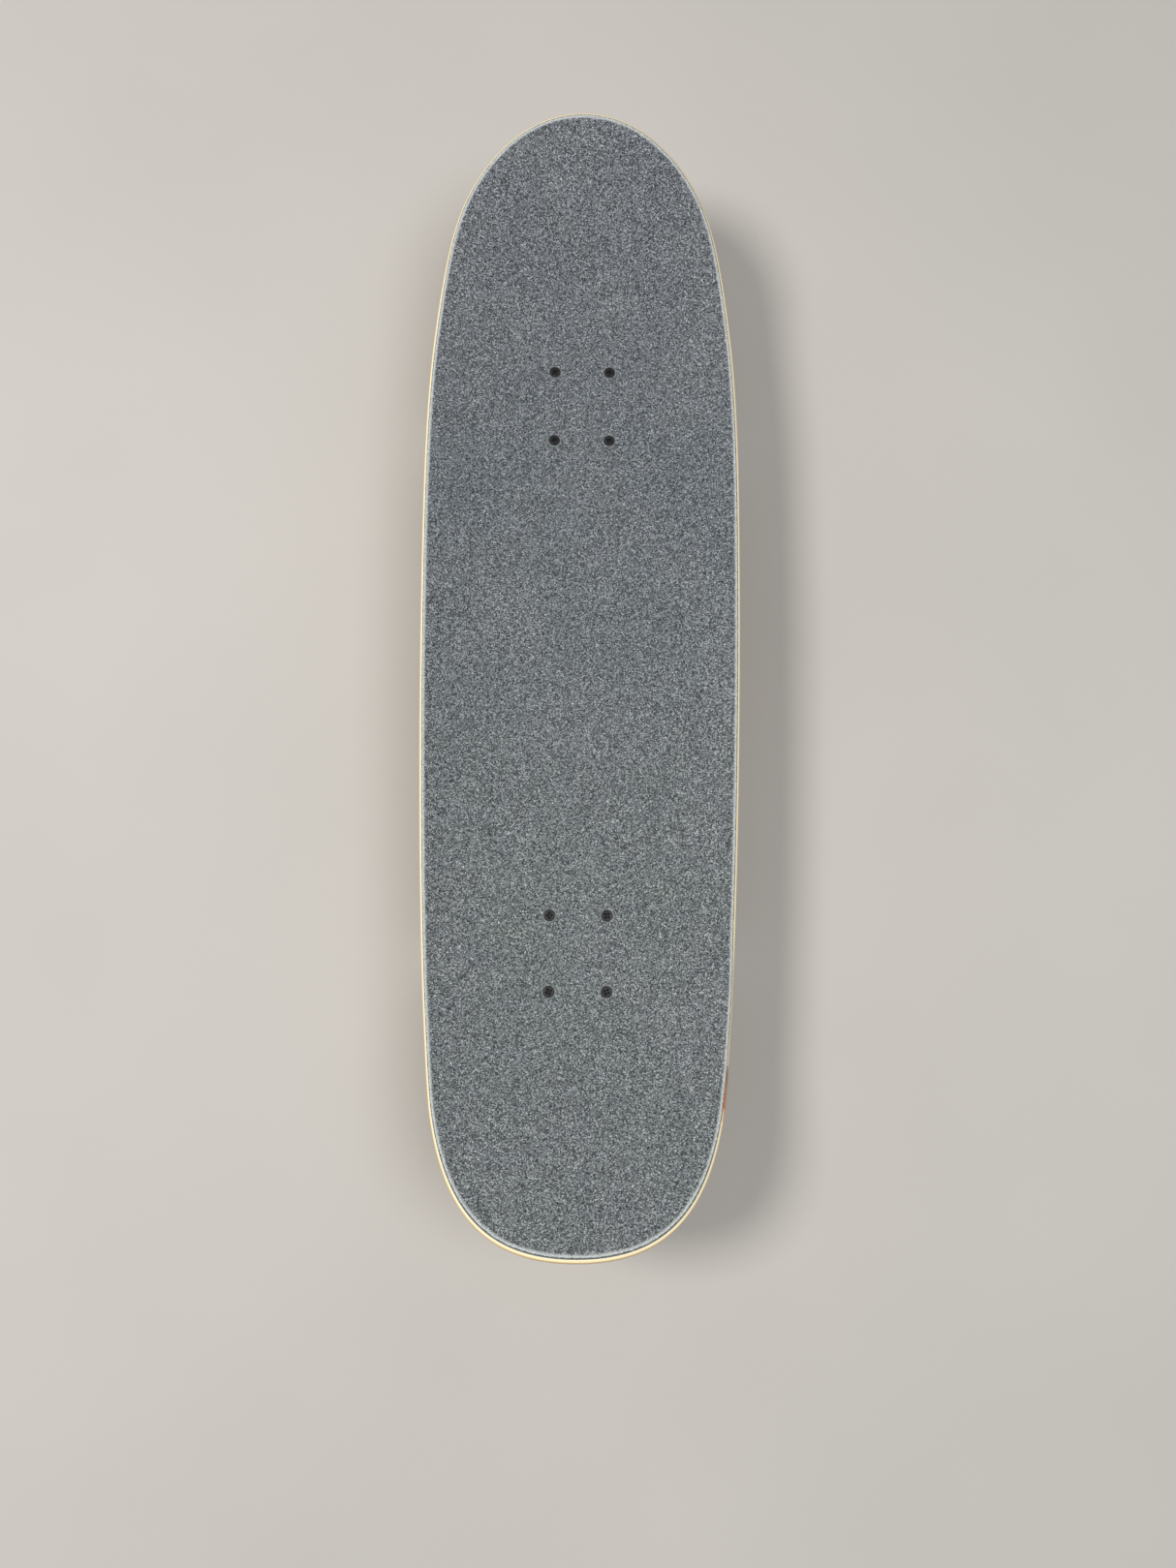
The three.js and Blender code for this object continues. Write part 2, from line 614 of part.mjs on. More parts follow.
const CROSS_TURNS = [12, 58, 35, 77, 22, 66, 5, 48].map(degrees);
boltPlaces.forEach((place, i) => {
  const truck = place.y > 0 ? "front" : "rear";
  const number = (i % 4) + 1;
  addPiece(board, `${truck}_bolt_${number}`, boltShape(place, CROSS_TURNS[i]), blackSteel);
  addPiece(board, `${truck}_locknut_${number}`, locknutShape(place), brightSteel);
});

function addWheel(truck, name, side) {
  const hub = new THREE.Group();
  hub.position.set(side * WHEEL_X, AXLE_Y, AXLE_Z);
  truck.add(hub);
  const origin = new THREE.Vector3();
  const outwards = new THREE.Vector3(side, 0, 0);
  const facetDown = Math.PI / WHEEL_SIDES;
  addPiece(hub, `${name}_wheel`, turned(wheelSection(), WHEEL_SIDES, origin, outwards, facetDown), urethane);
  const fromMiddle = (distance) => new THREE.Vector3(side * distance, 0, 0);
  const bearing = (x) => turned(bearingProfile, RING_SIDES, fromMiddle(x), outwards);
  addPiece(hub, `${name}_inner_bearing`, bearing(-BEARING_SPAN / 2), brightSteel);
  addPiece(hub, `${name}_outer_bearing`, bearing(SPACER_LENGTH / 2), brightSteel);
  const spacer = turned(spacerProfile, BOLT_SIDES, fromMiddle(-SPACER_LENGTH / 2), outwards);
  addPiece(hub, `${name}_spacer`, spacer, brightSteel);
  const nutFoot = fromMiddle(BEARING_SPAN / 2 + SPEED_WASHER);
  const nut = hexPrism(AXLE_NUT.flats, AXLE_NUT.height, AXLE_RADIUS + GAP, nutFoot, outwards);
  addPiece(hub, `${name}_axle_nut`, nut, brightSteel);
}

function addTruck(name, end) {
  const truck = new THREE.Group();
  truck.position.y = end * PATTERN_CENTRE;
  truck.rotation.z = end > 0 ? 0 : Math.PI;
  board.add(truck);
  addPiece(truck, `${name}_baseplate`, baseplateShape(), castAluminium);
  addPiece(truck, `${name}_pivot_cup`, pivotCupShape(), bushingRubber);
  addPiece(truck, `${name}_kingpin`, kingpinShape(), brightSteel);
  addPiece(truck, `${name}_kingpin_nut`, kingpinNutShape(), brightSteel);
  addPiece(truck, `${name}_board_washer`, washerShape(BOARD_WASHER_LOW), brightSteel);
  addPiece(truck, `${name}_road_washer`, washerShape(ROAD_WASHER_LOW), brightSteel);
  const boardBushing = bushingShape(BOARD_BUSHING_LOW, BOARD_BUSHING, BUSHING_RADIUS, BUSHING_RADIUS);
  addPiece(truck, `${name}_board_bushing`, boardBushing, bushingRubber);
  const roadBushing = bushingShape(ROAD_BUSHING_LOW, ROAD_BUSHING, ROAD_BUSHING_TIP, BUSHING_RADIUS);
  addPiece(truck, `${name}_road_bushing`, roadBushing, bushingRubber);
  addPiece(truck, `${name}_hanger`, hangerShape(), castAluminium);
  addPiece(truck, `${name}_axle`, axleShape(), brightSteel);
  for (const side of [-1, 1]) {
    const onRight = side * end > 0;
    addWheel(truck, `${name}_${onRight ? "right" : "left"}`, side);
  }
}
addTruck("front", 1);
addTruck("rear", -1);

// Both ends lean outwards below the top edge, so the middle of the length is found from the deck.
const deckBox = new THREE.Box3().setFromObject(board.getObjectByName("deck"));
board.position.y = -(deckBox.min.y + deckBox.max.y) / 2;

export default skateboard;
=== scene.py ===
"""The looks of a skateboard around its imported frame. Shapes are worked out in millimetres."""

import json
import math

import bmesh
import bpy
from mathutils import Matrix, Vector


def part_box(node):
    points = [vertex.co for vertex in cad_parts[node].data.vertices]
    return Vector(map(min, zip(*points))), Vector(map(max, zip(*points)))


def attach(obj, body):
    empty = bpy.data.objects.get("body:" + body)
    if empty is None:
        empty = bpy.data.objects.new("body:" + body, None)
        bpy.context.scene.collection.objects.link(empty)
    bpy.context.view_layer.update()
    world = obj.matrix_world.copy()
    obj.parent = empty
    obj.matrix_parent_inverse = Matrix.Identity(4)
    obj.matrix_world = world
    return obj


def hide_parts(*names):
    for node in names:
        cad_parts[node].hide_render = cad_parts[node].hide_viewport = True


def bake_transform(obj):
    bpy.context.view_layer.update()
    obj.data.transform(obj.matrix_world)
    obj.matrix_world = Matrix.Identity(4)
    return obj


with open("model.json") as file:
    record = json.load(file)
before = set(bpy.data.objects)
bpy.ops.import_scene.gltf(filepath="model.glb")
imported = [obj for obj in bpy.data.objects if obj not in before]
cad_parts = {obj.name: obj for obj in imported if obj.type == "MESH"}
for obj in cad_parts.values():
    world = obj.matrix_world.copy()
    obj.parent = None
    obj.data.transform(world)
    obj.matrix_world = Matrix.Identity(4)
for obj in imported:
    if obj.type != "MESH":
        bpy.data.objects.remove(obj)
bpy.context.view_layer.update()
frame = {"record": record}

MM = 0.001
X = Vector((1, 0, 0))
Z = Vector((0, 0, 1))
ORIGIN = Vector((0, 0, 0))


# ---- Places taken from the frame ----


def box_mm(node):
    low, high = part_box(node)
    return low / MM, high / MM


def centre_mm(node):
    low, high = box_mm(node)
    return (low + high) / 2


TRUCKS = {"front": 1, "rear": -1}
SIDES = {"left": -1, "right": 1}
pattern_y = {truck: centre_mm(f"{truck}_baseplate").y for truck in TRUCKS}
WHEELBASE_MIDDLE = (pattern_y["front"] + pattern_y["rear"]) / 2
axle_centre = {truck: centre_mm(f"{truck}_axle") for truck in TRUCKS}
DECK_BOTTOM = box_mm("deck")[0].z
GRIP_TOP = frame["record"]["mounts"][0]["pos_m"][2] / MM

# ---- Sizes ----

HAIR = 0.05  # left between pieces that touch
SHARP = 0.01  # the bevel of a cut that leaves sharp corners

# Deck outline as half-widths; Y is counted from the middle of the wheelbase.
WIDEST = Vector((117.5, 98))
NOSE = {"tip": 408.6, "tip_pull": 42.4, "shoulder": (89.2, 349.7), "turn": 62.6, "pulls": (34.3, 56.8, 98)}
TAIL = {"tip": -404.6, "tip_pull": 59.7, "shoulder": (101.7, -315.4), "turn": 78.2, "pulls": (62.2, 49, 160)}
THICKNESS = 11
PLIES = 7
MARK = {"low": -315.0, "high": -283.0, "fade": 5.0}  # a rubbed mark along the right rail
TOP_ROUND = 3
BOTTOM_ROUND = 4
RAIL_RISE = 10
TIP_RAIL_RISE = 2.5
FLAT_FRACTION = 0.28
BEND_START = 250
BEND_RADIUS = 180
NOSE_ANGLE = math.radians(21)
TAIL_ANGLE = math.radians(20)
RAIL_FADE = (235, 400)

GRIP_THICKNESS = 1.05
GRIP_INSET = 1.8

HEAD_RADIUS = 4.15
HEAD_HEIGHT = 2.4
HEAD_TOP = GRIP_TOP - 0.15
BOLT_RADIUS = 2.4
BOLT_LENGTH = 25.4
BOLT_PITCH = 0.8
BOLT_NUT = {"flats": 9.5, "height": 3.9, "collar": 1.1}
CROSS_TURNS = (12, 58, 35, 77, 22, 66, 5, 48)  # degrees

WHEEL_RADIUS = 28
WHEEL_FACE = 16.5
BEARING_SPAN = 24
SPACER = 10
BEARING_WIDTH = 7
BEARING_RADIUS = 11
AXLE_RADIUS = 3.97
AXLE_HOLE = AXLE_RADIUS + 0.03  # of the rings on the axle
AXLE_HALF = 116
AXLE_PITCH = 1.06
AXLE_NUT = {"flats": 12.7, "height": 4.6, "collar": 1.5}
HANGER_HALF = 82.5

KINGPIN_LEAN = math.radians(27)
STEER_RISE = math.radians(28)
RING_CENTRE = Vector((0, -19, DECK_BOTTOM - 33))
PIVOT_REACH = 44
RING_OUTER = 15
RING_HOLE = 8
RING_HALF = 5
PIVOT_RADIUS = 5.5
CUP_RADIUS = 7.5
KINGPIN_RADIUS = 4.76
KINGPIN_FLATS = 14.3
KINGPIN_PITCH = 1.06
KINGPIN_NUT = {"flats": KINGPIN_FLATS, "height": 6.4, "collar": 2.0}
PLATE_WIDTH = 55
PLATE_LENGTH = 84
PLATE_CORNER = 9
PLATE_THICKNESS = 6
PLATE_TOP = DECK_BOTTOM - HAIR
PLATE_BOTTOM = DECK_BOTTOM - 0.3 - PLATE_THICKNESS
PATTERN_WIDTH = 41.28
PATTERN_LENGTH = 53.98

kingpin_up = Vector((0, math.sin(KINGPIN_LEAN), math.cos(KINGPIN_LEAN)))
ring_plane = Vector((0, math.cos(KINGPIN_LEAN), -math.sin(KINGPIN_LEAN)))
steer_up = Vector((0, math.cos(STEER_RISE), math.sin(STEER_RISE)))
PIVOT_BALL = RING_CENTRE + steer_up * PIVOT_REACH
AXLE = Vector((0, 6, WHEEL_RADIUS))

# Places along the kingpin, counted from the middle of the hanger's ring.
SEAT = 20.6
BOSS_RADIUS = 12.8
HEAD_LOW = SEAT + 4.7
STACK = {
    "board_washer": (18.8, 20.5),
    "board_bushing": (5.05, 18.75),
    "road_bushing": (-15.4, -5.05),
    "road_washer": (-17.1, -15.45),
}
NUT_FOOT = -17.15
KINGPIN_LOW = -27.3

CAST_GRAIN = 0.75  # the castings' voxels


def along_kingpin(distance):
    return RING_CENTRE + kingpin_up * distance


# ---- Meshes ----


def bridge(shape, rings):
    """Faces between rings of vertices that follow each other."""
    for lower, upper in zip(rings, rings[1:]):
        for i in range(len(lower)):
            after = (i + 1) % len(lower)
            shape.faces.new((lower[i], lower[after], upper[after], upper[i]))


def revolve(profile, start=ORIGIN, axis=Z, sides=64):
    """A turned solid: [radius, height] pairs about an axis, as a bmesh in millimetres."""
    turn = Z.rotation_difference(axis).to_matrix()
    shape = bmesh.new()
    rings = []
    for radius, height in profile:
        ring = []
        for i in range(sides):
            angle = 2 * math.pi * i / sides
            place = Vector((radius * math.cos(angle), radius * math.sin(angle), height))
            ring.append(shape.verts.new(turn @ place + start))
        rings.append(ring)
    bridge(shape, rings)
    return tidy(shape)


def tidy(shape):
    """Joins the vertices at the same place and turns every face outwards."""
    bmesh.ops.remove_doubles(shape, verts=shape.verts, dist=1e-4)
    bmesh.ops.recalc_face_normals(shape, faces=shape.faces)
    return shape


def closed(profile):
    """A profile that ends where it starts, for a ring."""
    return [*profile, profile[0]]


def rod(radius, low, high, bevel=0.3):
    """The profile of a round bar."""
    return [
        (0, low),
        (radius - bevel, low),
        (radius, low + bevel),
        (radius, high - bevel),
        (radius - bevel, high),
        (0, high),
    ]


def rounded_ring(inner, outer, low, high, bevel=0.3):
    return closed(
        [
            (inner, low + bevel),
            (inner + bevel, low),
            (outer - bevel, low),
            (outer, low + bevel),
            (outer, high - bevel),
            (outer - bevel, high),
            (inner + bevel, high),
            (inner, high - bevel),
        ]
    )


def threaded(radius, low, high, pitch, start, axis, sides=24):
    """A rod with a helical thread on its outside, with plain ends."""
    turn = Z.rotation_difference(axis).to_matrix()
    depth = 0.5 * pitch
    rows = max(4, round((high - low) / pitch * 4))
    shape = bmesh.new()
    rings = []
    for row in range(rows + 1):
        height = low + (high - low) * row / rows
        ring = []
        for i in range(sides):
            angle = 2 * math.pi * i / sides
            phase = ((height - low) / pitch - i / sides) % 1
            crest = 1 - abs(2 * phase - 1)
            edge = min(1, min(height - low, high - height) / pitch)
            reach = radius - depth * (1 - crest) * edge - 0.35 * pitch * (1 - edge)
            place = Vector((reach * math.cos(angle), reach * math.sin(angle), height))
            ring.append(shape.verts.new(turn @ place + start))
        rings.append(ring)
    bridge(shape, rings)
    shape.faces.new(reversed(rings[0]))
    shape.faces.new(rings[-1])
    return tidy(shape)


def hexagon(flats, height, hole, start, axis, collar=0.0):
    """A hexagonal nut with rounded corners at both ends, and a collar of the given height."""
    turn = Z.rotation_difference(axis).to_matrix()
    per_side = 8
    sides = 6 * per_side
    inner = flats / 2
    shape = bmesh.new()

    def ring(radius_at, height_at):
        made = []
        for i in range(sides):
            angle = 2 * math.pi * i / sides
            corner = inner / math.cos(math.radians(30) - angle % math.radians(60))
            radius = radius_at(corner)
            place = Vector((radius * math.cos(angle), radius * math.sin(angle), height_at(corner)))
            made.append(shape.verts.new(turn @ place + start))
        return made

    def slope(corner):
        return (corner - inner) * math.tan(math.radians(30)) + 0.02

    rings = [
        ring(lambda c: max(hole, 1e-4), lambda c: 0),
        ring(lambda c: inner * 0.96, lambda c: 0),
        ring(lambda c: c, slope),
        ring(lambda c: c, lambda c: height - slope(c)),
        ring(lambda c: inner * 0.96, lambda c: height),
    ]
    if collar:
        rings.append(ring(lambda c: inner * 0.86, lambda c: height))
        rings.append(ring(lambda c: inner * 0.84, lambda c: height + collar * 0.7))
        rings.append(ring(lambda c: inner * 0.76, lambda c: height + collar))
    rings.append(ring(lambda c: max(hole, 1e-4), lambda c: height + collar))
    if hole:
        rings.append(rings[0])
    bridge(shape, rings)
    return tidy(shape)


def capsule(start, end, start_radius, end_radius, sides=32):
    """A tapered bar with round ends."""
    length = (end - start).length
    steps = 6
    profile = []
    for i in range(steps + 1):
        angle = math.pi / 2 * (i / steps - 1)
        profile.append((start_radius * math.cos(angle), start_radius * math.sin(angle)))
    for i in range(steps + 1):
        angle = math.pi / 2 * i / steps
        profile.append((end_radius * math.cos(angle), length + end_radius * math.sin(angle)))
    return revolve(profile, start, (end - start).normalized(), sides)


def prism(corners, thickness, across, along, centre):
    """A polygon of (across, along) corners, given a thickness about its own plane."""
    normal = across.cross(along).normalized()
    shape = bmesh.new()
    layers = []
    for side in (-0.5, 0.5):
        shift = centre + normal * thickness * side
        layers.append([shape.verts.new(shift + across * a + along * b) for a, b in corners])
    low, high = layers
    shape.faces.new(reversed(low))
    shape.faces.new(high)
    bridge(shape, layers)
    return tidy(shape)


def object_of(shape, name):
    mesh = bpy.data.meshes.new(name)
    shape.to_mesh(mesh)
    shape.free()
    made = bpy.data.objects.new(name, mesh)
    bpy.context.scene.collection.objects.link(made)
    return made


def applied(obj):
    """Replaces an object's mesh by what its modifiers make of it."""
    bpy.context.view_layer.update()
    seen = obj.evaluated_get(bpy.context.evaluated_depsgraph_get())
    mesh = bpy.data.meshes.new_from_object(seen)
    obj.modifiers.clear()
    obj.data = mesh
    return obj


def shape_of(obj):
    """An object's mesh as a bmesh; the object goes."""
    shape = bmesh.new()
    shape.from_mesh(obj.data)
    bpy.data.objects.remove(obj)
    return shape


def joined(shapes, name):
    """One object of several closed shapes."""
    whole = bmesh.new()
    for shape in shapes:
        mesh = bpy.data.meshes.new("part")
        shape.to_mesh(mesh)
        shape.free()
        whole.from_mesh(mesh)
        bpy.data.meshes.remove(mesh)
    return object_of(whole, name)


def combined(obj, shape, operation):
    """Joins another shape to an object or cuts it away."""
    tool = object_of(shape, "tool")
    change = obj.modifiers.new("change", "BOOLEAN")
    change.operation = operation
    change.solver = "MANIFOLD"
    change.object = tool
    applied(obj)
    bpy.data.objects.remove(tool)
    return obj


def drilled(obj, *tools):
    for tool in tools:
        combined(obj, tool, "DIFFERENCE")
    return obj


def melted(obj, rounds):
    """One skin of even grain over all of an object's shapes, smoothed a number of rounds."""
    melt = obj.modifiers.new("melt", "REMESH")
    melt.mode = "VOXEL"
    melt.voxel_size = CAST_GRAIN
    soften = obj.modifiers.new("soften", "SMOOTH")
    soften.factor = 0.5
    soften.iterations = rounds
    return applied(obj)


def cast(shapes, hollows, name, rounds):
    """Shapes melted into one casting, with hollows, whose inner and outer corners are soft."""
    return melted(drilled(melted(joined(shapes, name), 2), *hollows), rounds)


def crease(mesh, angle):
    """Smooth shading that stays sharp at edges steeper than the angle."""
    shape = bmesh.new()
    shape.from_mesh(mesh)
    for face in shape.faces:
        face.smooth = True
    for edge in shape.edges:
        steep = len(edge.link_faces) == 2 and edge.calc_face_angle(0) > angle
        edge.smooth = not steep
    shape.to_mesh(mesh)
    shape.free()


def place(obj, material, slot, body, replaces=(), matrix=None, crease_angle=32):
    """Brings a piece from millimetres to metres, and gives it its material and its body."""
    obj.data.transform(Matrix.Scale(MM, 4) @ (matrix or Matrix.Identity(4)))
    crease(obj.data, math.radians(crease_angle))
    obj.data.materials.clear()
    obj.data.materials.append(material)
    if replaces:
        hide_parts(*replaces)
    if body:
        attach(obj, body)
    return obj


# ---- Materials ----


class Nodes:
    """Short ways to add and join shader nodes."""

    def __init__(self, name):
        self.material = bpy.data.materials.new(name)
        self.material.use_nodes = True
        self.tree = self.material.node_tree
        self.shader = self.tree.nodes["Principled BSDF"]

    def add(self, kind, inputs=None, **settings):
        node = self.tree.nodes.new("ShaderNode" + kind)
        for key, value in settings.items():
            setattr(node, key, value)
        for key, value in (inputs or {}).items():
            if isinstance(value, bpy.types.NodeSocket):
                self.tree.links.new(value, node.inputs[key])
            else:
                node.inputs[key].default_value = value
        return node

    def math(self, operation, a, b=0.0, clamp=False):
        return self.add("Math", {0: a, 1: b}, operation=operation, use_clamp=clamp).outputs[0]

    def object_place(self):
        return self.add("TexCoord").outputs["Object"]

    def scaled(self, vector, scale):
        return self.add("Mapping", {"Vector": vector, "Scale": scale}).outputs["Vector"]

    def noise(self, vector, scale, detail=2.0, roughness=0.5):
        inputs = {"Vector": vector, "Scale": scale, "Detail": detail, "Roughness": roughness}
        return self.add("TexNoise", inputs).outputs["Fac"]

    def remap(self, value, low, high, to_low=0.0, to_high=1.0):
        inputs = {"Value": value, "From Min": low, "From Max": high, "To Min": to_low, "To Max": to_high}
        return self.add("MapRange", inputs, clamp=True).outputs["Result"]

    def ramp(self, value, *stops):
        node = self.add("ValToRGB", {"Fac": value})
        ramp = node.color_ramp
        while len(ramp.elements) < len(stops):
            ramp.elements.new(0.5)
        for element, (position, colour) in zip(ramp.elements, stops):
            element.position = position
            element.color = (*colour, 1)
        return node.outputs["Color"]

    def mix(self, factor, a, b, blend="MIX"):
        node = self.add("Mix", data_type="RGBA", blend_type=blend)
        for socket, value in ((node.inputs[0], factor), (node.inputs[6], a), (node.inputs[7], b)):
            if isinstance(value, bpy.types.NodeSocket):
                self.tree.links.new(value, socket)
            elif isinstance(value, (int, float)):
                socket.default_value = value
            else:
                socket.default_value = (*value, 1)
        return node.outputs[2]

    def bump(self, height, strength, distance):
        inputs = {"Height": height, "Strength": strength, "Distance": distance}
        return self.add("Bump", inputs).outputs["Normal"]

    def set(self, **inputs):
        for key, value in inputs.items():
            socket = self.shader.inputs[key.replace("_", " ")]
            if isinstance(value, bpy.types.NodeSocket):
                self.tree.links.new(value, socket)
            elif isinstance(value, tuple):
                socket.default_value = (*value, 1)
            else:
                socket.default_value = value
        return self.material


def maple_material():
    """Maple plies, seen on both faces along the grain and as thin bands round the edge."""
    n = Nodes("maple")
    place_at = n.object_place()
    skin = n.add("UVMap", uv_map="skin").outputs["UV"]
    depth = n.add("SeparateXYZ", {"Vector": skin}).outputs["Y"]
    long_grain = n.scaled(place_at, (130, 5, 0))
    streaks = n.noise(long_grain, 1.0, 6, 0.65)
    pores = n.noise(n.scaled(place_at, (1500, 60, 0)), 1.0, 2)
    cloud = n.noise(n.scaled(place_at, (9, 3, 0)), 1.0, 3)
    face = n.ramp(streaks, (0.3, (0.74, 0.53, 0.30)), (0.55, (0.85, 0.68, 0.43)), (0.75, (0.9, 0.76, 0.52)))
    face = n.mix(n.remap(cloud, 0.35, 0.7, 0, 0.35), face, (0.80, 0.59, 0.36))
    face = n.mix(n.remap(pores, 0.62, 0.75, 0, 0.35), face, (0.5, 0.33, 0.18))
    ply = n.math("MULTIPLY", depth, PLIES)
    number = n.math("FLOOR", ply)
    within = n.math("FRACT", ply)
    from_core = n.math("ABSOLUTE", n.math("SUBTRACT", number, 3.0))
    # The second ply in from each face gets an orange band colour.
    orange_plies = n.math("MULTIPLY", n.math("GREATER_THAN", from_core, 1.5), n.math("LESS_THAN", from_core, 2.5))
    cross = n.math("LESS_THAN", from_core, 0.5)
    fibres = n.noise(n.add("Mapping", {"Vector": skin, "Scale": (900, 30, 1)}).outputs["Vector"], 1.0, 3)
    light = n.ramp(fibres, (0.3, (0.84, 0.72, 0.43)), (0.7, (0.94, 0.86, 0.58)))
    dark = n.ramp(fibres, (0.3, (0.45, 0.27, 0.13)), (0.7, (0.62, 0.41, 0.22)))
    orange = n.ramp(fibres, (0.3, (0.68, 0.38, 0.13)), (0.7, (0.82, 0.52, 0.21)))
    band = n.mix(orange_plies, n.mix(cross, light, dark), orange)
    near_line = n.math("ABSOLUTE", n.math("SUBTRACT", within, 0.5))
    glue = n.math("MULTIPLY", n.remap(near_line, 0.44, 0.5), n.math("GREATER_THAN", ply, 0.5))
    band = n.mix(n.math("MULTIPLY", glue, 0.55), band, (0.30, 0.17, 0.08))
    on_edge = n.math("MULTIPLY", n.math("GREATER_THAN", depth, 0.002), n.math("LESS_THAN", depth, 0.998))
    colour = n.mix(on_edge, face, band)
    # A rubbed red-orange mark on the right rail near the tail.
    split = n.add("SeparateXYZ", {"Vector": place_at})
    low = (WHEELBASE_MIDDLE + MARK["low"]) * MM
    high = (WHEELBASE_MIDDLE + MARK["high"]) * MM
    ragged = n.math("MULTIPLY", n.math("SUBTRACT", n.noise(place_at, 220, 3), 0.5), 0.012)
    y = n.math("ADD", split.outputs["Y"], ragged)
    fade = MARK["fade"] * MM
    mark = n.math("MULTIPLY", n.remap(y, low - fade, low + fade), n.remap(y, high + fade, high - fade))
    mark = n.math("MULTIPLY", mark, n.math("GREATER_THAN", split.outputs["X"], 0.0))
    mark = n.math("MULTIPLY", mark, on_edge)
    mark = n.math("MULTIPLY", mark, n.remap(n.noise(place_at, 700, 2), 0.25, 0.6, 0.75, 1.0))
    rust = n.mix(n.remap(y, high, low), (0.28, 0.105, 0.06), (0.62, 0.18, 0.04))
    colour = n.mix(mark, colour, rust)
    rough = n.remap(streaks, 0.3, 0.7, 0.42, 0.55)
    rough = n.math("ADD", rough, n.math("MULTIPLY", on_edge, 0.12))
    grain = n.math("ADD", n.math("MULTIPLY", pores, 0.6), n.math("MULTIPLY", glue, -1.0))
    return n.set(Base_Color=colour, Roughness=rough, Normal=n.bump(grain, 0.35, 0.00012), Coat_Weight=0.12)


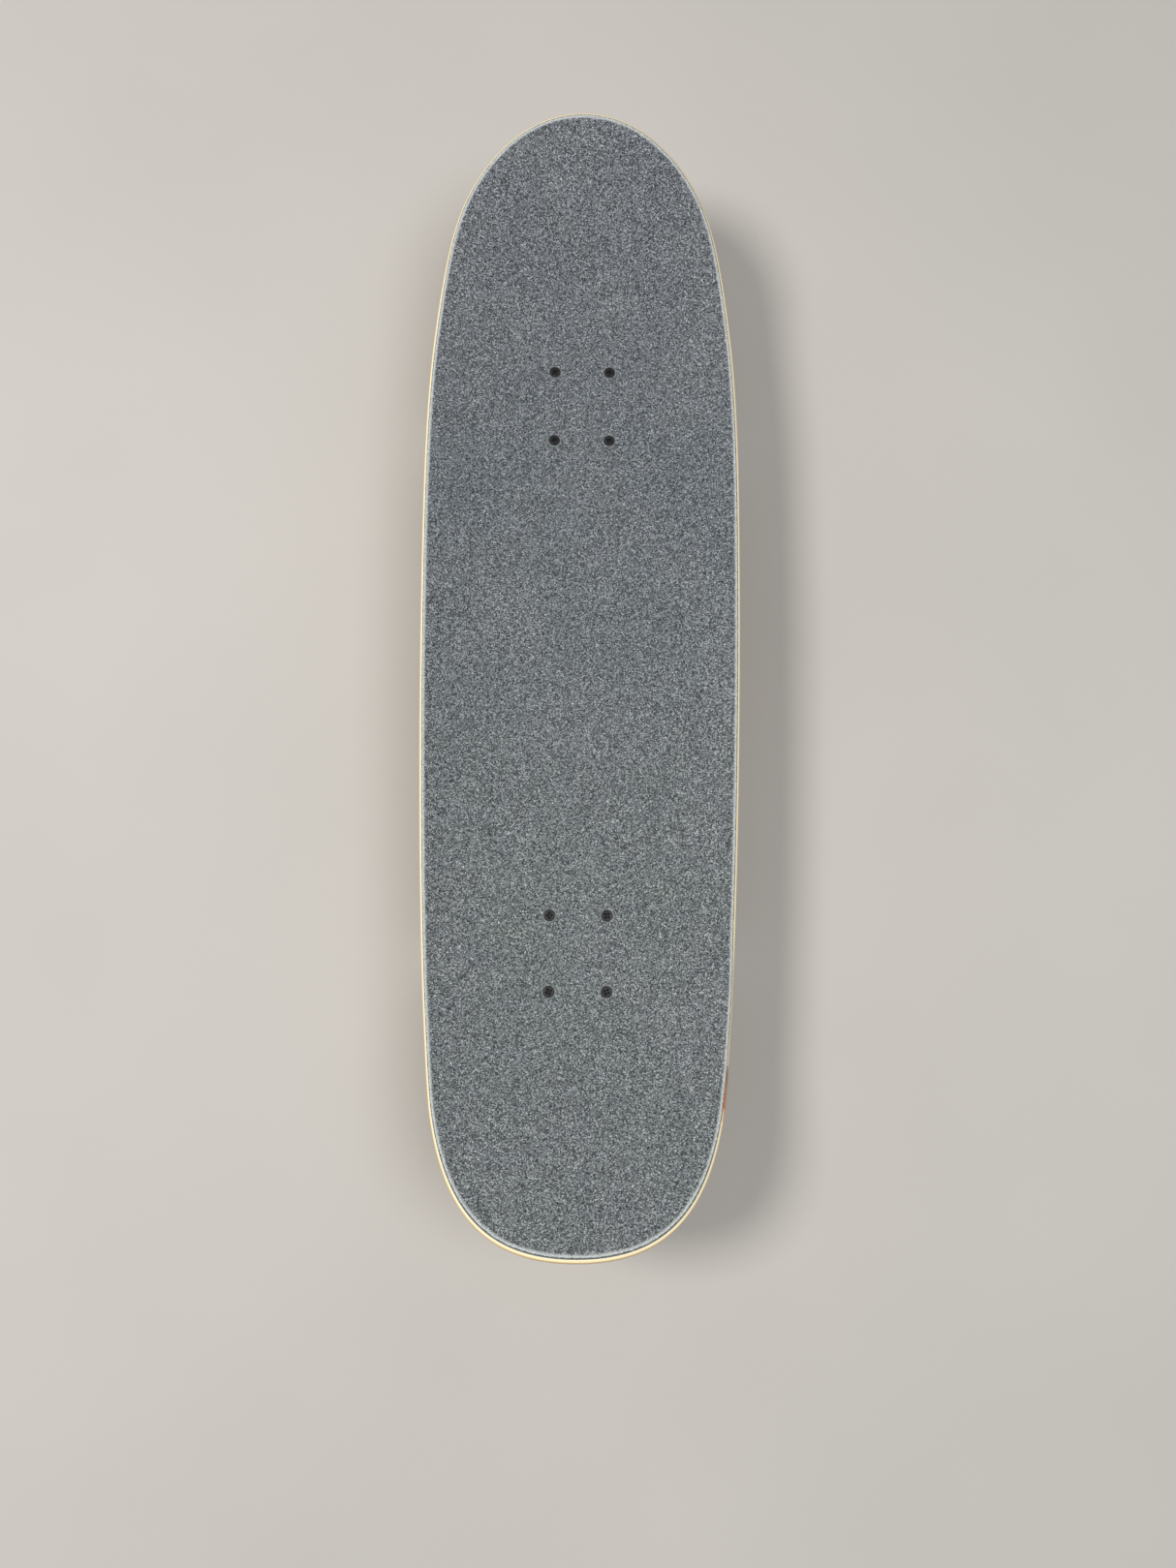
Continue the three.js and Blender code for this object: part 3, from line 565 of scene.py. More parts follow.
def grip_material():
    """Abrasive grit: dark sparkling grains in a grey sheet, worn pale along the filed edge."""
    n = Nodes("grip")
    place_at = n.object_place()
    skin = n.add("UVMap", uv_map="skin").outputs["UV"]
    rim = n.add("SeparateXYZ", {"Vector": skin}).outputs["Y"]  # millimetres from the cut edge
    grain = n.add("TexVoronoi", {"Vector": place_at, "Scale": 1570.0}, feature="F1")
    shade = n.add("SeparateColor", {"Color": grain.outputs["Color"]}).outputs["Red"]
    small = n.add("TexVoronoi", {"Vector": place_at, "Scale": 2500.0}, feature="F1")
    small_shade = n.add("SeparateColor", {"Color": small.outputs["Color"]}).outputs["Red"]
    cluster = n.remap(n.noise(place_at, 420, 3, 0.6), 0.3, 0.7)
    grit = n.math("ADD", n.math("MULTIPLY", shade, 0.66), n.math("MULTIPLY", small_shade, 0.29))
    grit = n.math("ADD", grit, n.math("MULTIPLY", cluster, 0.05))
    colour = n.ramp(
        grit,
        (0.10, (0.014, 0.016, 0.018)),
        (0.30, (0.050, 0.056, 0.060)),
        (0.50, (0.119, 0.131, 0.139)),
        (0.70, (0.235, 0.255, 0.266)),
        (0.86, (0.48, 0.505, 0.515)),
        (0.97, (0.84, 0.87, 0.88)),
    )
    few_grains = n.remap(small_shade, 0.955, 0.97)
    sparkle = n.math("MULTIPLY", few_grains, n.remap(small.outputs["Distance"], 0.5, 0.3))
    colour = n.mix(n.math("MULTIPLY", sparkle, 0.6), colour, (0.72, 0.75, 0.75))
    # Slow drifts of tint: a purplish nose, a blue upper middle, a greenish tail.
    split = n.add("SeparateXYZ", {"Vector": place_at})
    run = n.remap(split.outputs["Y"], -0.40, 0.40)
    tint = n.ramp(
        run,
        (0.0, (0.985, 1.03, 0.965)),
        (0.3, (0.975, 1.015, 0.94)),
        (0.62, (0.81, 0.855, 0.875)),
        (0.92, (0.89, 0.885, 0.925)),
    )
    blotch = n.noise(n.scaled(place_at, (14, 10, 0)), 1.0, 3)
    tint = n.mix(n.remap(blotch, 0.35, 0.65, 0, 0.6), tint, (1.12, 1.07, 1.07))
    cloud = n.noise(n.scaled(place_at, (60, 60, 0)), 1.0, 3)
    tint = n.mix(n.remap(cloud, 0.35, 0.65, 0, 0.5), tint, (0.94, 0.95, 0.99))
    colour = n.mix(1.0, colour, tint, "MULTIPLY")
    # The filed edge: a pale powdery line that lies further in at the tail, then a thin dark line of painted
    # shade at the cut edge, deepest on the left.
    at_tail = n.remap(split.outputs["Y"], -0.31, -0.375)
    ragged = n.math("MULTIPLY", n.math("SUBTRACT", n.noise(place_at, 800, 3, 0.7), 0.5), 1.9)
    inwards = n.math("SUBTRACT", n.math("ADD", rim, ragged), n.math("MULTIPLY", at_tail, 0.5))
    pale = n.math("MULTIPLY", n.remap(inwards, 0.25, 0.85), n.remap(inwards, 2.9, 1.2))
    powder = n.ramp(n.noise(place_at, 1500, 2), (0.35, (0.40, 0.42, 0.42)), (0.6, (0.72, 0.75, 0.73)))
    colour = n.mix(n.math("MULTIPLY", pale, 0.92), colour, powder)
    # Painted shade: the dark line along the cut edge, stronger on the left side than on the right.
    painted_edge_shade = n.math("MULTIPLY", n.remap(inwards, 0.5, 0.15), n.remap(split.outputs["X"], 0.08, -0.06, 0.55, 1.0))
    colour = n.mix(painted_edge_shade, colour, (0.10, 0.115, 0.135))
    # Torn, pale grit round each bolt.
    across = n.math("SUBTRACT", n.math("ABSOLUTE", split.outputs["X"]), PATTERN_WIDTH / 2 * MM)
    middle = (pattern_y["front"] - pattern_y["rear"]) / 2 * MM
    run_y = n.math("SUBTRACT", split.outputs["Y"], WHEELBASE_MIDDLE * MM)
    from_middle = n.math("SUBTRACT", n.math("ABSOLUTE", run_y), middle)
    along = n.math("SUBTRACT", n.math("ABSOLUTE", from_middle), PATTERN_LENGTH / 2 * MM)
    squares = n.math("ADD", n.math("MULTIPLY", across, across), n.math("MULTIPLY", along, along))
    reach = n.math("MULTIPLY", n.math("SQRT", squares), 1000.0)
    torn = n.math("ADD", reach, n.math("MULTIPLY", n.math("SUBTRACT", n.noise(place_at, 700, 3), 0.5), 1.6))
    colour = n.mix(n.remap(torn, 5.4, 4.6, 0, 0.4), colour, (0.33, 0.34, 0.34))
    height = n.math("ADD", grit, n.math("MULTIPLY", sparkle, 0.15))
    rough = n.remap(grit, 0.4, 0.65, 0.95, 0.6)
    return n.set(
        Base_Color=colour,
        Roughness=rough,
        Specular_IOR_Level=0.35,
        Normal=n.bump(height, 0.8, 0.0006),
    )


def metal_material(name, colour, rough, grain, grain_scale, metallic=1.0, specular=0.5):
    n = Nodes(name)
    place_at = n.object_place()
    spots = n.noise(place_at, grain_scale, 4, 0.6)
    cloud = n.noise(place_at, 60, 3)
    shade = n.mix(n.remap(cloud, 0.3, 0.7), tuple(c * 0.86 for c in colour), colour)
    shade = n.mix(n.remap(spots, 0.35, 0.7, 0, 0.25), shade, tuple(c * 0.7 for c in colour))
    fine_roughness = n.remap(spots, 0.3, 0.7, rough * 0.85, rough * 1.2)
    roughness = n.math("ADD", fine_roughness, n.remap(cloud, 0.3, 0.7, -0.04, 0.06))
    return n.set(
        Base_Color=shade,
        Metallic=metallic,
        Specular_IOR_Level=specular,
        Roughness=roughness,
        Normal=n.bump(spots, grain, 0.0001),
    )


def urethane_material():
    """Cast urethane: a warm white that is a little scuffed where the tread rolls."""
    n = Nodes("urethane")
    place_at = n.object_place()
    skin = n.add("UVMap", uv_map="skin").outputs["UV"]
    tread = n.add("SeparateXYZ", {"Vector": skin}).outputs["Y"]  # 1 on the tread, 0 elsewhere
    cloud = n.noise(place_at, 45, 3)
    speck = n.noise(place_at, 900, 3, 0.7)
    colour = n.mix(n.remap(cloud, 0.3, 0.7), (0.83, 0.81, 0.74), (0.88, 0.86, 0.80))
    scuff = n.math("MULTIPLY", tread, n.remap(speck, 0.42, 0.62, 0.05, 0.22))
    colour = n.mix(scuff, colour, (0.58, 0.55, 0.49))
    rough = n.math("ADD", 0.34, n.math("MULTIPLY", tread, 0.25))
    return n.set(
        Base_Color=colour,
        Roughness=rough,
        Subsurface_Weight=0.15,
        Subsurface_Scale=0.004,
        Normal=n.bump(speck, 0.15, 0.0001),
    )


def soft_material(name, colour, rough):
    n = Nodes(name)
    place_at = n.object_place()
    cloud = n.noise(place_at, 150, 3)
    speck = n.noise(place_at, 1600, 2)
    shade = n.mix(n.remap(cloud, 0.3, 0.7), tuple(c * 0.75 for c in colour), colour)
    return n.set(
        Base_Color=shade,
        Roughness=n.remap(speck, 0.3, 0.7, rough * 0.9, rough * 1.1),
        Normal=n.bump(speck, 0.2, 0.00008),
    )


maple = maple_material()
grip = grip_material()
black_oxide = metal_material("black_oxide", (0.016, 0.016, 0.017), 0.4, 0.2, 1800, 0.0, 0.3)
zinc = metal_material("zinc", (0.62, 0.63, 0.64), 0.28, 0.15, 1500)
cast_aluminium = metal_material("cast_aluminium", (0.6, 0.6, 0.61), 0.42, 0.5, 900)
ground_steel = metal_material("ground_steel", (0.66, 0.66, 0.67), 0.18, 0.05, 2500)
urethane = urethane_material()
bushing_urethane = soft_material("bushing_urethane", (0.028, 0.028, 0.03), 0.45)
shield_rubber = soft_material("shield_rubber", (0.02, 0.02, 0.021), 0.5)
nylon = soft_material("nylon", (0.72, 0.72, 0.7), 0.4)


# ---- Deck and grip tape ----


def bezier(points, t):
    a, b, c, d = points
    s = 1 - t
    return a * s**3 + b * (3 * s * s * t) + c * (3 * s * t * t) + d * t**3


def bezier_slope(points, t):
    a, b, c, d = points
    s = 1 - t
    return (b - a) * (3 * s * s) + (c - b) * (6 * s * t) + (d - c) * (3 * t * t)


def end_curves(end):
    outwards = math.copysign(1, end["tip"])
    turn = math.radians(end["turn"])
    slope = Vector((math.cos(turn), -outwards * math.sin(turn)))
    tip = Vector((0, end["tip"]))
    shoulder = Vector(end["shoulder"])
    before, after, last = end["pulls"]
    return [
        (tip, Vector((end["tip_pull"], end["tip"])), shoulder - slope * before, shoulder),
        (shoulder, shoulder + slope * after, WIDEST + Vector((0, outwards * last)), WIDEST),
    ]


def outline_spots():
    """Places round the outline with the directions that point away from the deck."""
    nose_tip, nose_side = end_curves(NOSE)
    tail_tip, tail_side = end_curves(TAIL)
    samples = [(tail_tip, i / 64) for i in range(64)]
    samples += [(tail_side, i / 96) for i in range(96)]
    samples += [(nose_side, 1 - i / 66) for i in range(66)]
    samples += [(nose_tip, 1 - i / 52) for i in range(53)]
    right = []
    for curve, t in samples:
        point = bezier(curve, t)
        tangent = bezier_slope(curve, t).normalized()
        outwards = Vector((tangent.y, -tangent.x))
        if outwards.dot(point) < 0:
            outwards.negate()
        right.append((point, outwards))
    left = [(Vector((-p.x, p.y)), Vector((-o.x, o.y))) for p, o in reversed(right[1:-1])]
    return right + left


def bend_run(angle):
    return BEND_RADIUS * math.sin(angle)


NOSE_BEND_END = BEND_START + bend_run(NOSE_ANGLE)
TAIL_BEND_END = -BEND_START - bend_run(TAIL_ANGLE)


def kick(y):
    """Height and slope of the deck's middle line."""
    angle = NOSE_ANGLE if y > 0 else TAIL_ANGLE
    run = abs(y) - BEND_START
    if run <= 0:
        return 0, 0
    slope = math.copysign(min(math.asin(min(run / BEND_RADIUS, 1)), angle), y)
    bent = min(run, bend_run(angle))
    rise = BEND_RADIUS - math.sqrt(BEND_RADIUS**2 - bent**2) + (run - bent) * math.tan(angle)
    return rise, slope


def smoothstep(value, low, high):
    t = min(1, max(0, (value - low) / (high - low)))
    return t * t * (3 - 2 * t)


def rail_rise(y):
    return RAIL_RISE + (TIP_RAIL_RISE - RAIL_RISE) * smoothstep(abs(y), *RAIL_FADE)


def deck_point(spot, reach, inset, depth):
    """A fraction of the way from the middle line to an inset outline, at a depth under the top."""
    point, outwards = spot
    foot = Vector((0, min(NOSE_BEND_END, max(TAIL_BEND_END, point.y))))
    edge = point - outwards * inset
    at = foot.lerp(edge, reach)
    fraction = (at - foot).length / (point - foot).length
    climb = max(0, (fraction - FLAT_FRACTION) / (1 - FLAT_FRACTION)) ** 2
    rise, slope = kick(at.y)
    top = DECK_BOTTOM + THICKNESS + rise + rail_rise(at.y) * climb
    y = WHEELBASE_MIDDLE + at.y + math.sin(slope) * depth
    return Vector((at.x, y, top - math.cos(slope) * depth))


def skin_mesh(name, spots, rings_at):
    """A closed skin over rings of (reach, inset, depth, map height), with a map of run and height."""
    runs = [0.0]
    for (a, _), (b, _) in zip(spots, [*spots[1:], spots[0]]):
        runs.append(runs[-1] + (b - a).length)
    shape = bmesh.new()
    layer = shape.loops.layers.uv.new("skin")
    columns = [rings_at(point) for point, _ in spots]
    grid = []
    for spot, rings in zip(spots, columns):
        grid.append([shape.verts.new(deck_point(spot, *ring[:3])) for ring in rings])
    for i in range(len(spots)):
        after = (i + 1) % len(spots)
        run, next_run = runs[i] * MM, runs[i + 1] * MM
        for j in range(len(columns[i]) - 1):
            face = shape.faces.new((grid[i][j], grid[i][j + 1], grid[after][j + 1], grid[after][j]))
            places = (
                (run, columns[i][j][3]),
                (run, columns[i][j + 1][3]),
                (next_run, columns[after][j + 1][3]),
                (next_run, columns[after][j][3]),
            )
            for loop, uv in zip(face.loops, places):
                loop[layer].uv = uv
    return object_of(tidy(shape), name)


def round_drop(inset, radius):
    """How far a rounded edge lies under its face at a distance from the outline."""
    if inset >= radius:
        return 0
    return radius - math.sqrt(radius**2 - (radius - inset) ** 2)


FACE_REACHES = [0, 0.1, 0.2, FLAT_FRACTION, *(FLAT_FRACTION + 0.72 * i / 14 for i in range(1, 14))]
ROUND_STEPS = 7


def deck_rings():
    def at_depth(reach, inset, depth):
        return reach, inset, depth, depth / THICKNESS

    rings = [at_depth(reach, TOP_ROUND, 0) for reach in FACE_REACHES]
    for i in range(ROUND_STEPS + 1):
        angle = math.pi / 2 * i / ROUND_STEPS
        rings.append(at_depth(1, TOP_ROUND * (1 - math.sin(angle)), TOP_ROUND * (1 - math.cos(angle))))
    straight = THICKNESS - TOP_ROUND - BOTTOM_ROUND
    rings += [at_depth(1, 0, TOP_ROUND + straight * i / 4) for i in range(1, 4)]
    for i in reversed(range(ROUND_STEPS + 1)):
        angle = math.pi / 2 * i / ROUND_STEPS
        inset = BOTTOM_ROUND * (1 - math.sin(angle))
        rings.append(at_depth(1, inset, THICKNESS - BOTTOM_ROUND * (1 - math.cos(angle))))
    rings += [at_depth(reach, BOTTOM_ROUND, THICKNESS) for reach in reversed(FACE_REACHES)]
    return rings


def grip_inset(point):
    """The sheet is trimmed by hand: nearer to the edge at the nose and along part of a rail."""
    nose = smoothstep(point.y, 260, 360)
    tail = smoothstep(-point.y, 300, 380)
    rail = smoothstep(-point.y, 190, 220) * (1 - smoothstep(-point.y, 280, 300))
    return GRIP_INSET - 0.6 * nose + 0.2 * tail - (0.6 * rail if point.x > 0 else 0)


# How far the sheet's rings lie inside its cut edge, closer together towards the edge.
RIM_STEPS = (12, 6, 4, 3, 2.4, 1.9, 1.4, 1.0, 0.7, 0.45, 0.25, 0.1)


def grip_rings(point):
    """The sheet's top, its cut edge and its glued face. The map's height is the way from the edge."""
    edge = grip_inset(point)

    def layer(lift, squeeze):
        rings = [(reach, edge + RIM_STEPS[0], -lift, 50) for reach in (*FACE_REACHES, 1)]
        for rim in RIM_STEPS[1:]:
            thin = lift * (1 - squeeze * (1 - smoothstep(rim, 0, 1.6)))
            rings.append((1, edge + rim, round_drop(edge + rim, TOP_ROUND) - thin, rim))
        return rings

    top = layer(GRIP_THICKNESS + HAIR, 0.45)
    under = layer(HAIR, 0)
    cut = [(1, edge, round_drop(edge, TOP_ROUND) - 0.3, 0)]
    return top + cut + list(reversed(under))


def bolt_places():
    return [(truck, i, centre_mm(f"{truck}_bolt_{i}")) for truck in TRUCKS for i in range(1, 5)]


def bolt_holes():
    """Countersunk holes through the deck and its tape, with room round each bolt."""
    shank = BOLT_RADIUS + 0.3
    head = HEAD_RADIUS + 0.3
    profile = [
        (0, DECK_BOTTOM - 3),
        (shank, DECK_BOTTOM - 3),
        (shank, HEAD_TOP - HEAD_HEIGHT),
        (head, HEAD_TOP),
        (head, GRIP_TOP + 2),
        (0, GRIP_TOP + 2),
    ]
    return [revolve(profile, Vector((at.x, at.y, 0)), Z, 32) for _, _, at in bolt_places()]


spots = outline_spots()
DECK_RINGS = deck_rings()
deck = drilled(skin_mesh("deck_wood", spots, lambda point: DECK_RINGS), *bolt_holes())
place(deck, maple, "maple", "board", ["deck"], crease_angle=50)
grip_sheet = drilled(skin_mesh("grip_sheet", spots, grip_rings), *bolt_holes())
place(grip_sheet, grip, "grip", "board", ["grip_tape"], crease_angle=50)


# ---- Mounting bolts and locknuts ----


def cross_recess(turn):
    """A tapered cross-shaped pit in the head."""
    corners = [(-2.65, 0.6), (-2.3, -0.4), (-0.9, -1.9), (0.9, -1.9), (2.3, -0.4), (2.65, 0.6)]
    tools = []
    for quarter in (0, 90):
        angle = math.radians(turn + quarter)
        across = Vector((math.cos(angle), math.sin(angle), 0))
        tools.append(prism(corners, 1.45, across, Z, Vector((0, 0, HEAD_TOP))))
    return tools


def bolt_head():
    """The profile of a countersunk head with a rounded rim, and 1 mm of its shank."""
    return [
        (0, HEAD_TOP - HEAD_HEIGHT - 1),
        (BOLT_RADIUS, HEAD_TOP - HEAD_HEIGHT - 1),
        (BOLT_RADIUS, HEAD_TOP - HEAD_HEIGHT),
        (HEAD_RADIUS - 0.1, HEAD_TOP - 0.32),
        (HEAD_RADIUS, HEAD_TOP - 0.2),
        (HEAD_RADIUS - 0.08, HEAD_TOP - 0.06),
        (HEAD_RADIUS - 0.3, HEAD_TOP),
        (0, HEAD_TOP),
    ]


def bolt_object(name, turn):
    """A flat-headed bolt on the Z axis."""
    head = object_of(revolve(bolt_head(), ORIGIN, Z, 48), "head")
    drilled(head, *cross_recess(turn))
    shank_top = HEAD_TOP - HEAD_HEIGHT - 0.9
    shank = threaded(BOLT_RADIUS, HEAD_TOP - BOLT_LENGTH, shank_top, BOLT_PITCH, ORIGIN, Z)
    return joined([shape_of(head), shank], name)


def nut_shape(sizes, hole, foot, axis):
    return hexagon(sizes["flats"], sizes["height"], hole + HAIR, foot, axis, sizes["collar"])


for turn, (truck, i, at) in zip(CROSS_TURNS, bolt_places()):
    bolt = bolt_object(f"{truck}_deck_bolt_{i}", turn)
    shift = Matrix.Translation((at.x, at.y, 0))
    place(bolt, black_oxide, "black_steel", "board", [f"{truck}_bolt_{i}"], shift)
    foot = Vector((at.x, at.y, PLATE_BOTTOM - HAIR))
    nut = object_of(nut_shape(BOLT_NUT, BOLT_RADIUS, foot, -Z), f"{truck}_lock_nut_{i}")
    place(nut, zinc, "plated_steel", "board", [f"{truck}_locknut_{i}"])


# ---- Trucks ----


def rounded_plate(width, length, corner, low, high, bevel):
    """A flat plate with round corners and a bevel along both rims."""
    outline = []
    for quarter in range(4):
        sign_x = 1 if quarter in (0, 3) else -1
        sign_y = 1 if quarter in (0, 1) else -1
        middle = Vector((sign_x * (width / 2 - corner), sign_y * (length / 2 - corner)))
        for step in range(9):
            angle = math.radians(90 * quarter + 90 * step / 8)
            outline.append((middle, Vector((math.cos(angle), math.sin(angle)))))
    shape = bmesh.new()
    rings = []
    for inset, height in ((bevel, low), (0, low + bevel), (0, high - bevel), (bevel, high)):
        ring = []
        for middle, away in outline:
            at = middle + away * (corner - inset)
            ring.append(shape.verts.new((at.x, at.y, height)))
        rings.append(ring)
    bridge(shape, rings)
    shape.faces.new(reversed(rings[0]))
    shape.faces.new(rings[-1])
    return tidy(shape)


BOLT_SPOTS = [
    Vector((across * PATTERN_WIDTH / 2, along * PATTERN_LENGTH / 2, 0))
    for along in (-1, 1)
    for across in (-1, 1)
]


def on_kingpin(profile, sides=64):
    return revolve(profile, RING_CENTRE, kingpin_up, sides)


def on_pivot(profile):
    return revolve(profile, PIVOT_BALL, steer_up)


def bar_pair(start, end, start_radius, end_radius):
    """The same tapered bar on the left and on the right."""
    pair = []
    for side in (-1, 1):
        left_or_right = Vector((side, 1, 1))
        bar_start = Vector(start) * left_or_right
        bar_end = Vector(end) * left_or_right
        pair.append(capsule(bar_start, bar_end, start_radius, end_radius))
    return pair


def baseplate_object(name):
    """A plate with a boss for the kingpin, a boss for the pivot cup, and ribs between them."""
    room = 20  # left free under the kingpin's seat
    shapes = [
        rounded_plate(PLATE_WIDTH, PLATE_LENGTH, PLATE_CORNER, PLATE_BOTTOM, PLATE_TOP + 0.6, 1.2),
        on_kingpin(rod(BOSS_RADIUS, SEAT, SEAT + 14, 0.6)),
        on_pivot(rod(10.8, -5, 11, 0.6)),
        *bar_pair((9, -2, 72), (9, 26, 72), 3.6, 3.2),
        *bar_pair((8, -14, 73), (16, -34, 74), 3.4, 2.2),
        capsule(Vector((0, 28, 73)), Vector((0, 38, 75)), 4.5, 2.5),
    ]
    hollows = [on_kingpin(rod(17, SEAT - room, SEAT, 0.5))]
    hollows += [revolve(rod(6.9, PLATE_BOTTOM - 14, PLATE_BOTTOM, 0.5), at, Z, 32) for at in BOLT_SPOTS]
    body = cast(shapes, hollows, name, 5)
    above = bmesh.new()
    middle = Matrix.Translation((0, 0, PLATE_TOP + 25))
    bmesh.ops.create_cube(above, size=1, matrix=middle @ Matrix.Diagonal((200, 200, 50, 1)))
    tools = [
        above,
        on_kingpin(rod(5.1, SEAT - 6, SEAT + 20)),
        on_kingpin(rod(8.75, HEAD_LOW - 0.2, HEAD_LOW + 25)),
        on_pivot(rod(CUP_RADIUS + 0.1, -12, CUP_RADIUS + 0.1)),
        on_kingpin(rod(15, SEAT - room, SEAT, SHARP)),
    ]
    for at in BOLT_SPOTS:
        tools.append(revolve(rod(BOLT_RADIUS + 0.35, 60, 95), at, Z, 32))
        tools.append(revolve(rod(6.3, PLATE_BOTTOM - 8, PLATE_BOTTOM + 0.02), at, Z, 32))
    return drilled(body, *tools)


def quarter_angles(steps):
    return [math.pi / 2 * i / steps for i in range(steps + 1)]


def pivot_cup_shape():
    """A cup with a round cavity for the hanger's pivot and a lip at its mouth."""
    hollow = PIVOT_RADIUS + 0.1
    cavity = [(hollow * math.sin(a), hollow * math.cos(a)) for a in quarter_angles(8)]
    rim = [(hollow, -5.6), (6.0, -6.2), (7.9, -6.2), (8.4, -5.9), (8.4, -5.1), (CUP_RADIUS, -5.0)]
    back = [(CUP_RADIUS, 6.9), (6.9, CUP_RADIUS), (0, CUP_RADIUS)]
    return on_pivot([*cavity, *rim, *back])


def hanger_object(name):
    """The barrel round the axle, the kingpin's ring on its yoke, the stem to the pivot, the wings."""
    barrel = [(7.4, HANGER_HALF), (7.8, HANGER_HALF - 0.5), (8.7, 75), (9.6, 38), (10.8, 14)]
    left_end = [(0, -HANGER_HALF), *((radius, -x) for radius, x in barrel)]
    right_end = [*reversed(barrel), (0, HANGER_HALF)]
    knee = Vector((0, 7, 48))
    shapes = [
        capsule(AXLE - X * 40, AXLE + X * 40, 9.6, 9.6),
        revolve(left_end + right_end, AXLE, X),
        on_kingpin(rod(RING_OUTER, -RING_HALF, RING_HALF, 1.2)),
        *bar_pair((11, -12, 44.5), (24, 5, 32), 4.6, 6.5),
        prism([(-9, 2), (9, 2), (24, 26), (-24, 26)], 8.4, X, ring_plane, RING_CENTRE),
        capsule(PIVOT_BALL - steer_up * 11, knee, 6.2, 9.2),
        capsule(knee, Vector((0, 6.5, 30)), 9.2, 10.6),
        *bar_pair((3, 8.5, 53), (49, 6.5, 32), 4.2, 4.4),
        prism([(-48, 28), (48, 28), (9, 54), (-9, 54)], 4.4, X, Z, Vector((0, 7.2, 0))),
    ]
    hollows = [
        on_kingpin(rod(15.8, RING_HALF, 32, 0.5)),
        on_kingpin(rod(15.8, -32, -RING_HALF, 0.5)),
    ]
    body = cast(shapes, hollows, name, 6)
    drilled(
        body,
        revolve(rod(AXLE_RADIUS + 0.02, -90, 90, SHARP), AXLE, X),
        on_kingpin(rod(RING_HOLE + 1, -20, 20, SHARP)),
        on_kingpin(rod(14.8, RING_HALF - 0.6, 35, SHARP)),
        on_kingpin(rod(14.8, -30, -RING_HALF + 0.6, SHARP)),
        *[revolve(rod(20, HANGER_HALF - HAIR, 110, SHARP), AXLE, X * side) for side in (-1, 1)],
    )
    # The pin and the ring's faces are machined after casting, so they are sharp.
    pin = [(0, -12), (6.1, -12), (PIVOT_RADIUS, -8.5)]
    pin += [(PIVOT_RADIUS * math.cos(a), PIVOT_RADIUS * math.sin(a)) for a in quarter_angles(10)]
    combined(body, on_pivot(pin), "UNION")
    ring = rounded_ring(RING_HOLE, RING_OUTER + 0.1, -RING_HALF, RING_HALF, 0.8)
    return combined(body, on_kingpin(ring, 96), "UNION")


def bushing_shape(kind, low, high):
    """A barrel-shaped ring, or a cone on the road side."""
    hole = 5.0
    middle = (low + high) / 2
    if kind == "board":
        profile = [(hole, low), (10.6, low), (11.3, low + 0.7), (11.5, low + 1.6), (11.75, middle)]
        profile += [(11.5, high - 1.6), (11.3, high - 0.7), (10.6, high), (hole, high)]
    else:
        profile = [(hole, low), (8.8, low), (9.5, low + 0.6), (9.8, low + 1.4), (10.8, middle)]
        profile += [(11.4, high - 1.5), (11.3, high - 0.6), (10.6, high), (hole, high)]
    return on_kingpin(closed(profile), 96)


def cup_washer_shape(low, high, up):
    """A dished washer whose lip holds the bushing's end."""
    hole = 4.95
    flat = 1.2
    base, painted_edge_shade = (high - flat, low - 1.1) if up else (low + flat, high + 1.1)
    outer = high if up else low
    inside = [(hole, base), (10.9, base), (11.9, painted_edge_shade)]
    outside = [(12.6, painted_edge_shade), (12.7, (base + painted_edge_shade) / 2), (12.0, outer), (hole, outer)]
    return on_kingpin(closed(inside + outside), 96)


def kingpin_object(name):
    head = hexagon(KINGPIN_FLATS, 5.6, 0, along_kingpin(HEAD_LOW), kingpin_up)
    shank = on_kingpin(rod(KINGPIN_RADIUS, -9, HEAD_LOW + 0.5, SHARP), 48)
    thread = threaded(KINGPIN_RADIUS, KINGPIN_LOW, -8.5, KINGPIN_PITCH, RING_CENTRE, kingpin_up, 48)
    return joined([head, shank, thread], name)


def locknut_with_ring(sizes, hole, foot, axis, name):
    """A hexagonal locknut; the plastic ring in its collar is a piece of its own."""
    nut = object_of(nut_shape(sizes, hole, foot, axis), name)
    low = sizes["height"] + sizes["collar"] * 0.4
    high = sizes["height"] + sizes["collar"] * 1.04
    ring = rounded_ring(hole - 0.25, hole + 1.1, low, high, 0.15)
    return nut, object_of(revolve(ring, foot, axis, 48), f"{name}_insert")


def wheel_profile():
    """Half a wheel's section from the bearing shoulder to the tread, then the other half."""
    seat = BEARING_RADIUS + 0.02
    half = [
        (8.3, 4.9),
        (8.6, 5.2),
        (seat, 5.2),
        (seat, 12.3),
        (11.5, 12.8),
        (12.6, 13.0),
        (13.1, 13.3),
        (13.5, 14.0),
        (15.0, 14.6),
        (18.5, 15.6),
        (21.2, WHEEL_FACE),
    ]
    shoulder = 6.45  # the radius between the face and the tread
    middle = Vector((21.5, WHEEL_FACE - 6.5))
    for i in range(1, 13):
        angle = math.radians(90 - 78 * i / 12)
        half.append((middle.x + shoulder * math.cos(angle), middle.y + shoulder * math.sin(angle)))
    half.append((WHEEL_RADIUS, WHEEL_FACE - 7.6))
    half.append((WHEEL_RADIUS, 4))
    return [(r, -h) for r, h in half] + [(r, h) for r, h in reversed(half)]


def wheel_object(name, centre, outwards):
    """A wheel whose map's height is 1 on the tread and 0 elsewhere."""
    shape = revolve(closed(wheel_profile()), centre, outwards, 144)
    layer = shape.loops.layers.uv.new("skin")
    for face in shape.faces:
        for loop in face.loops:
            away = loop.vert.co - centre
            radius = (away - outwards * away.dot(outwards)).length
            loop[layer].uv = (away.dot(outwards) * MM, smoothstep(radius, 27.2, 27.9))
    return object_of(shape, name)


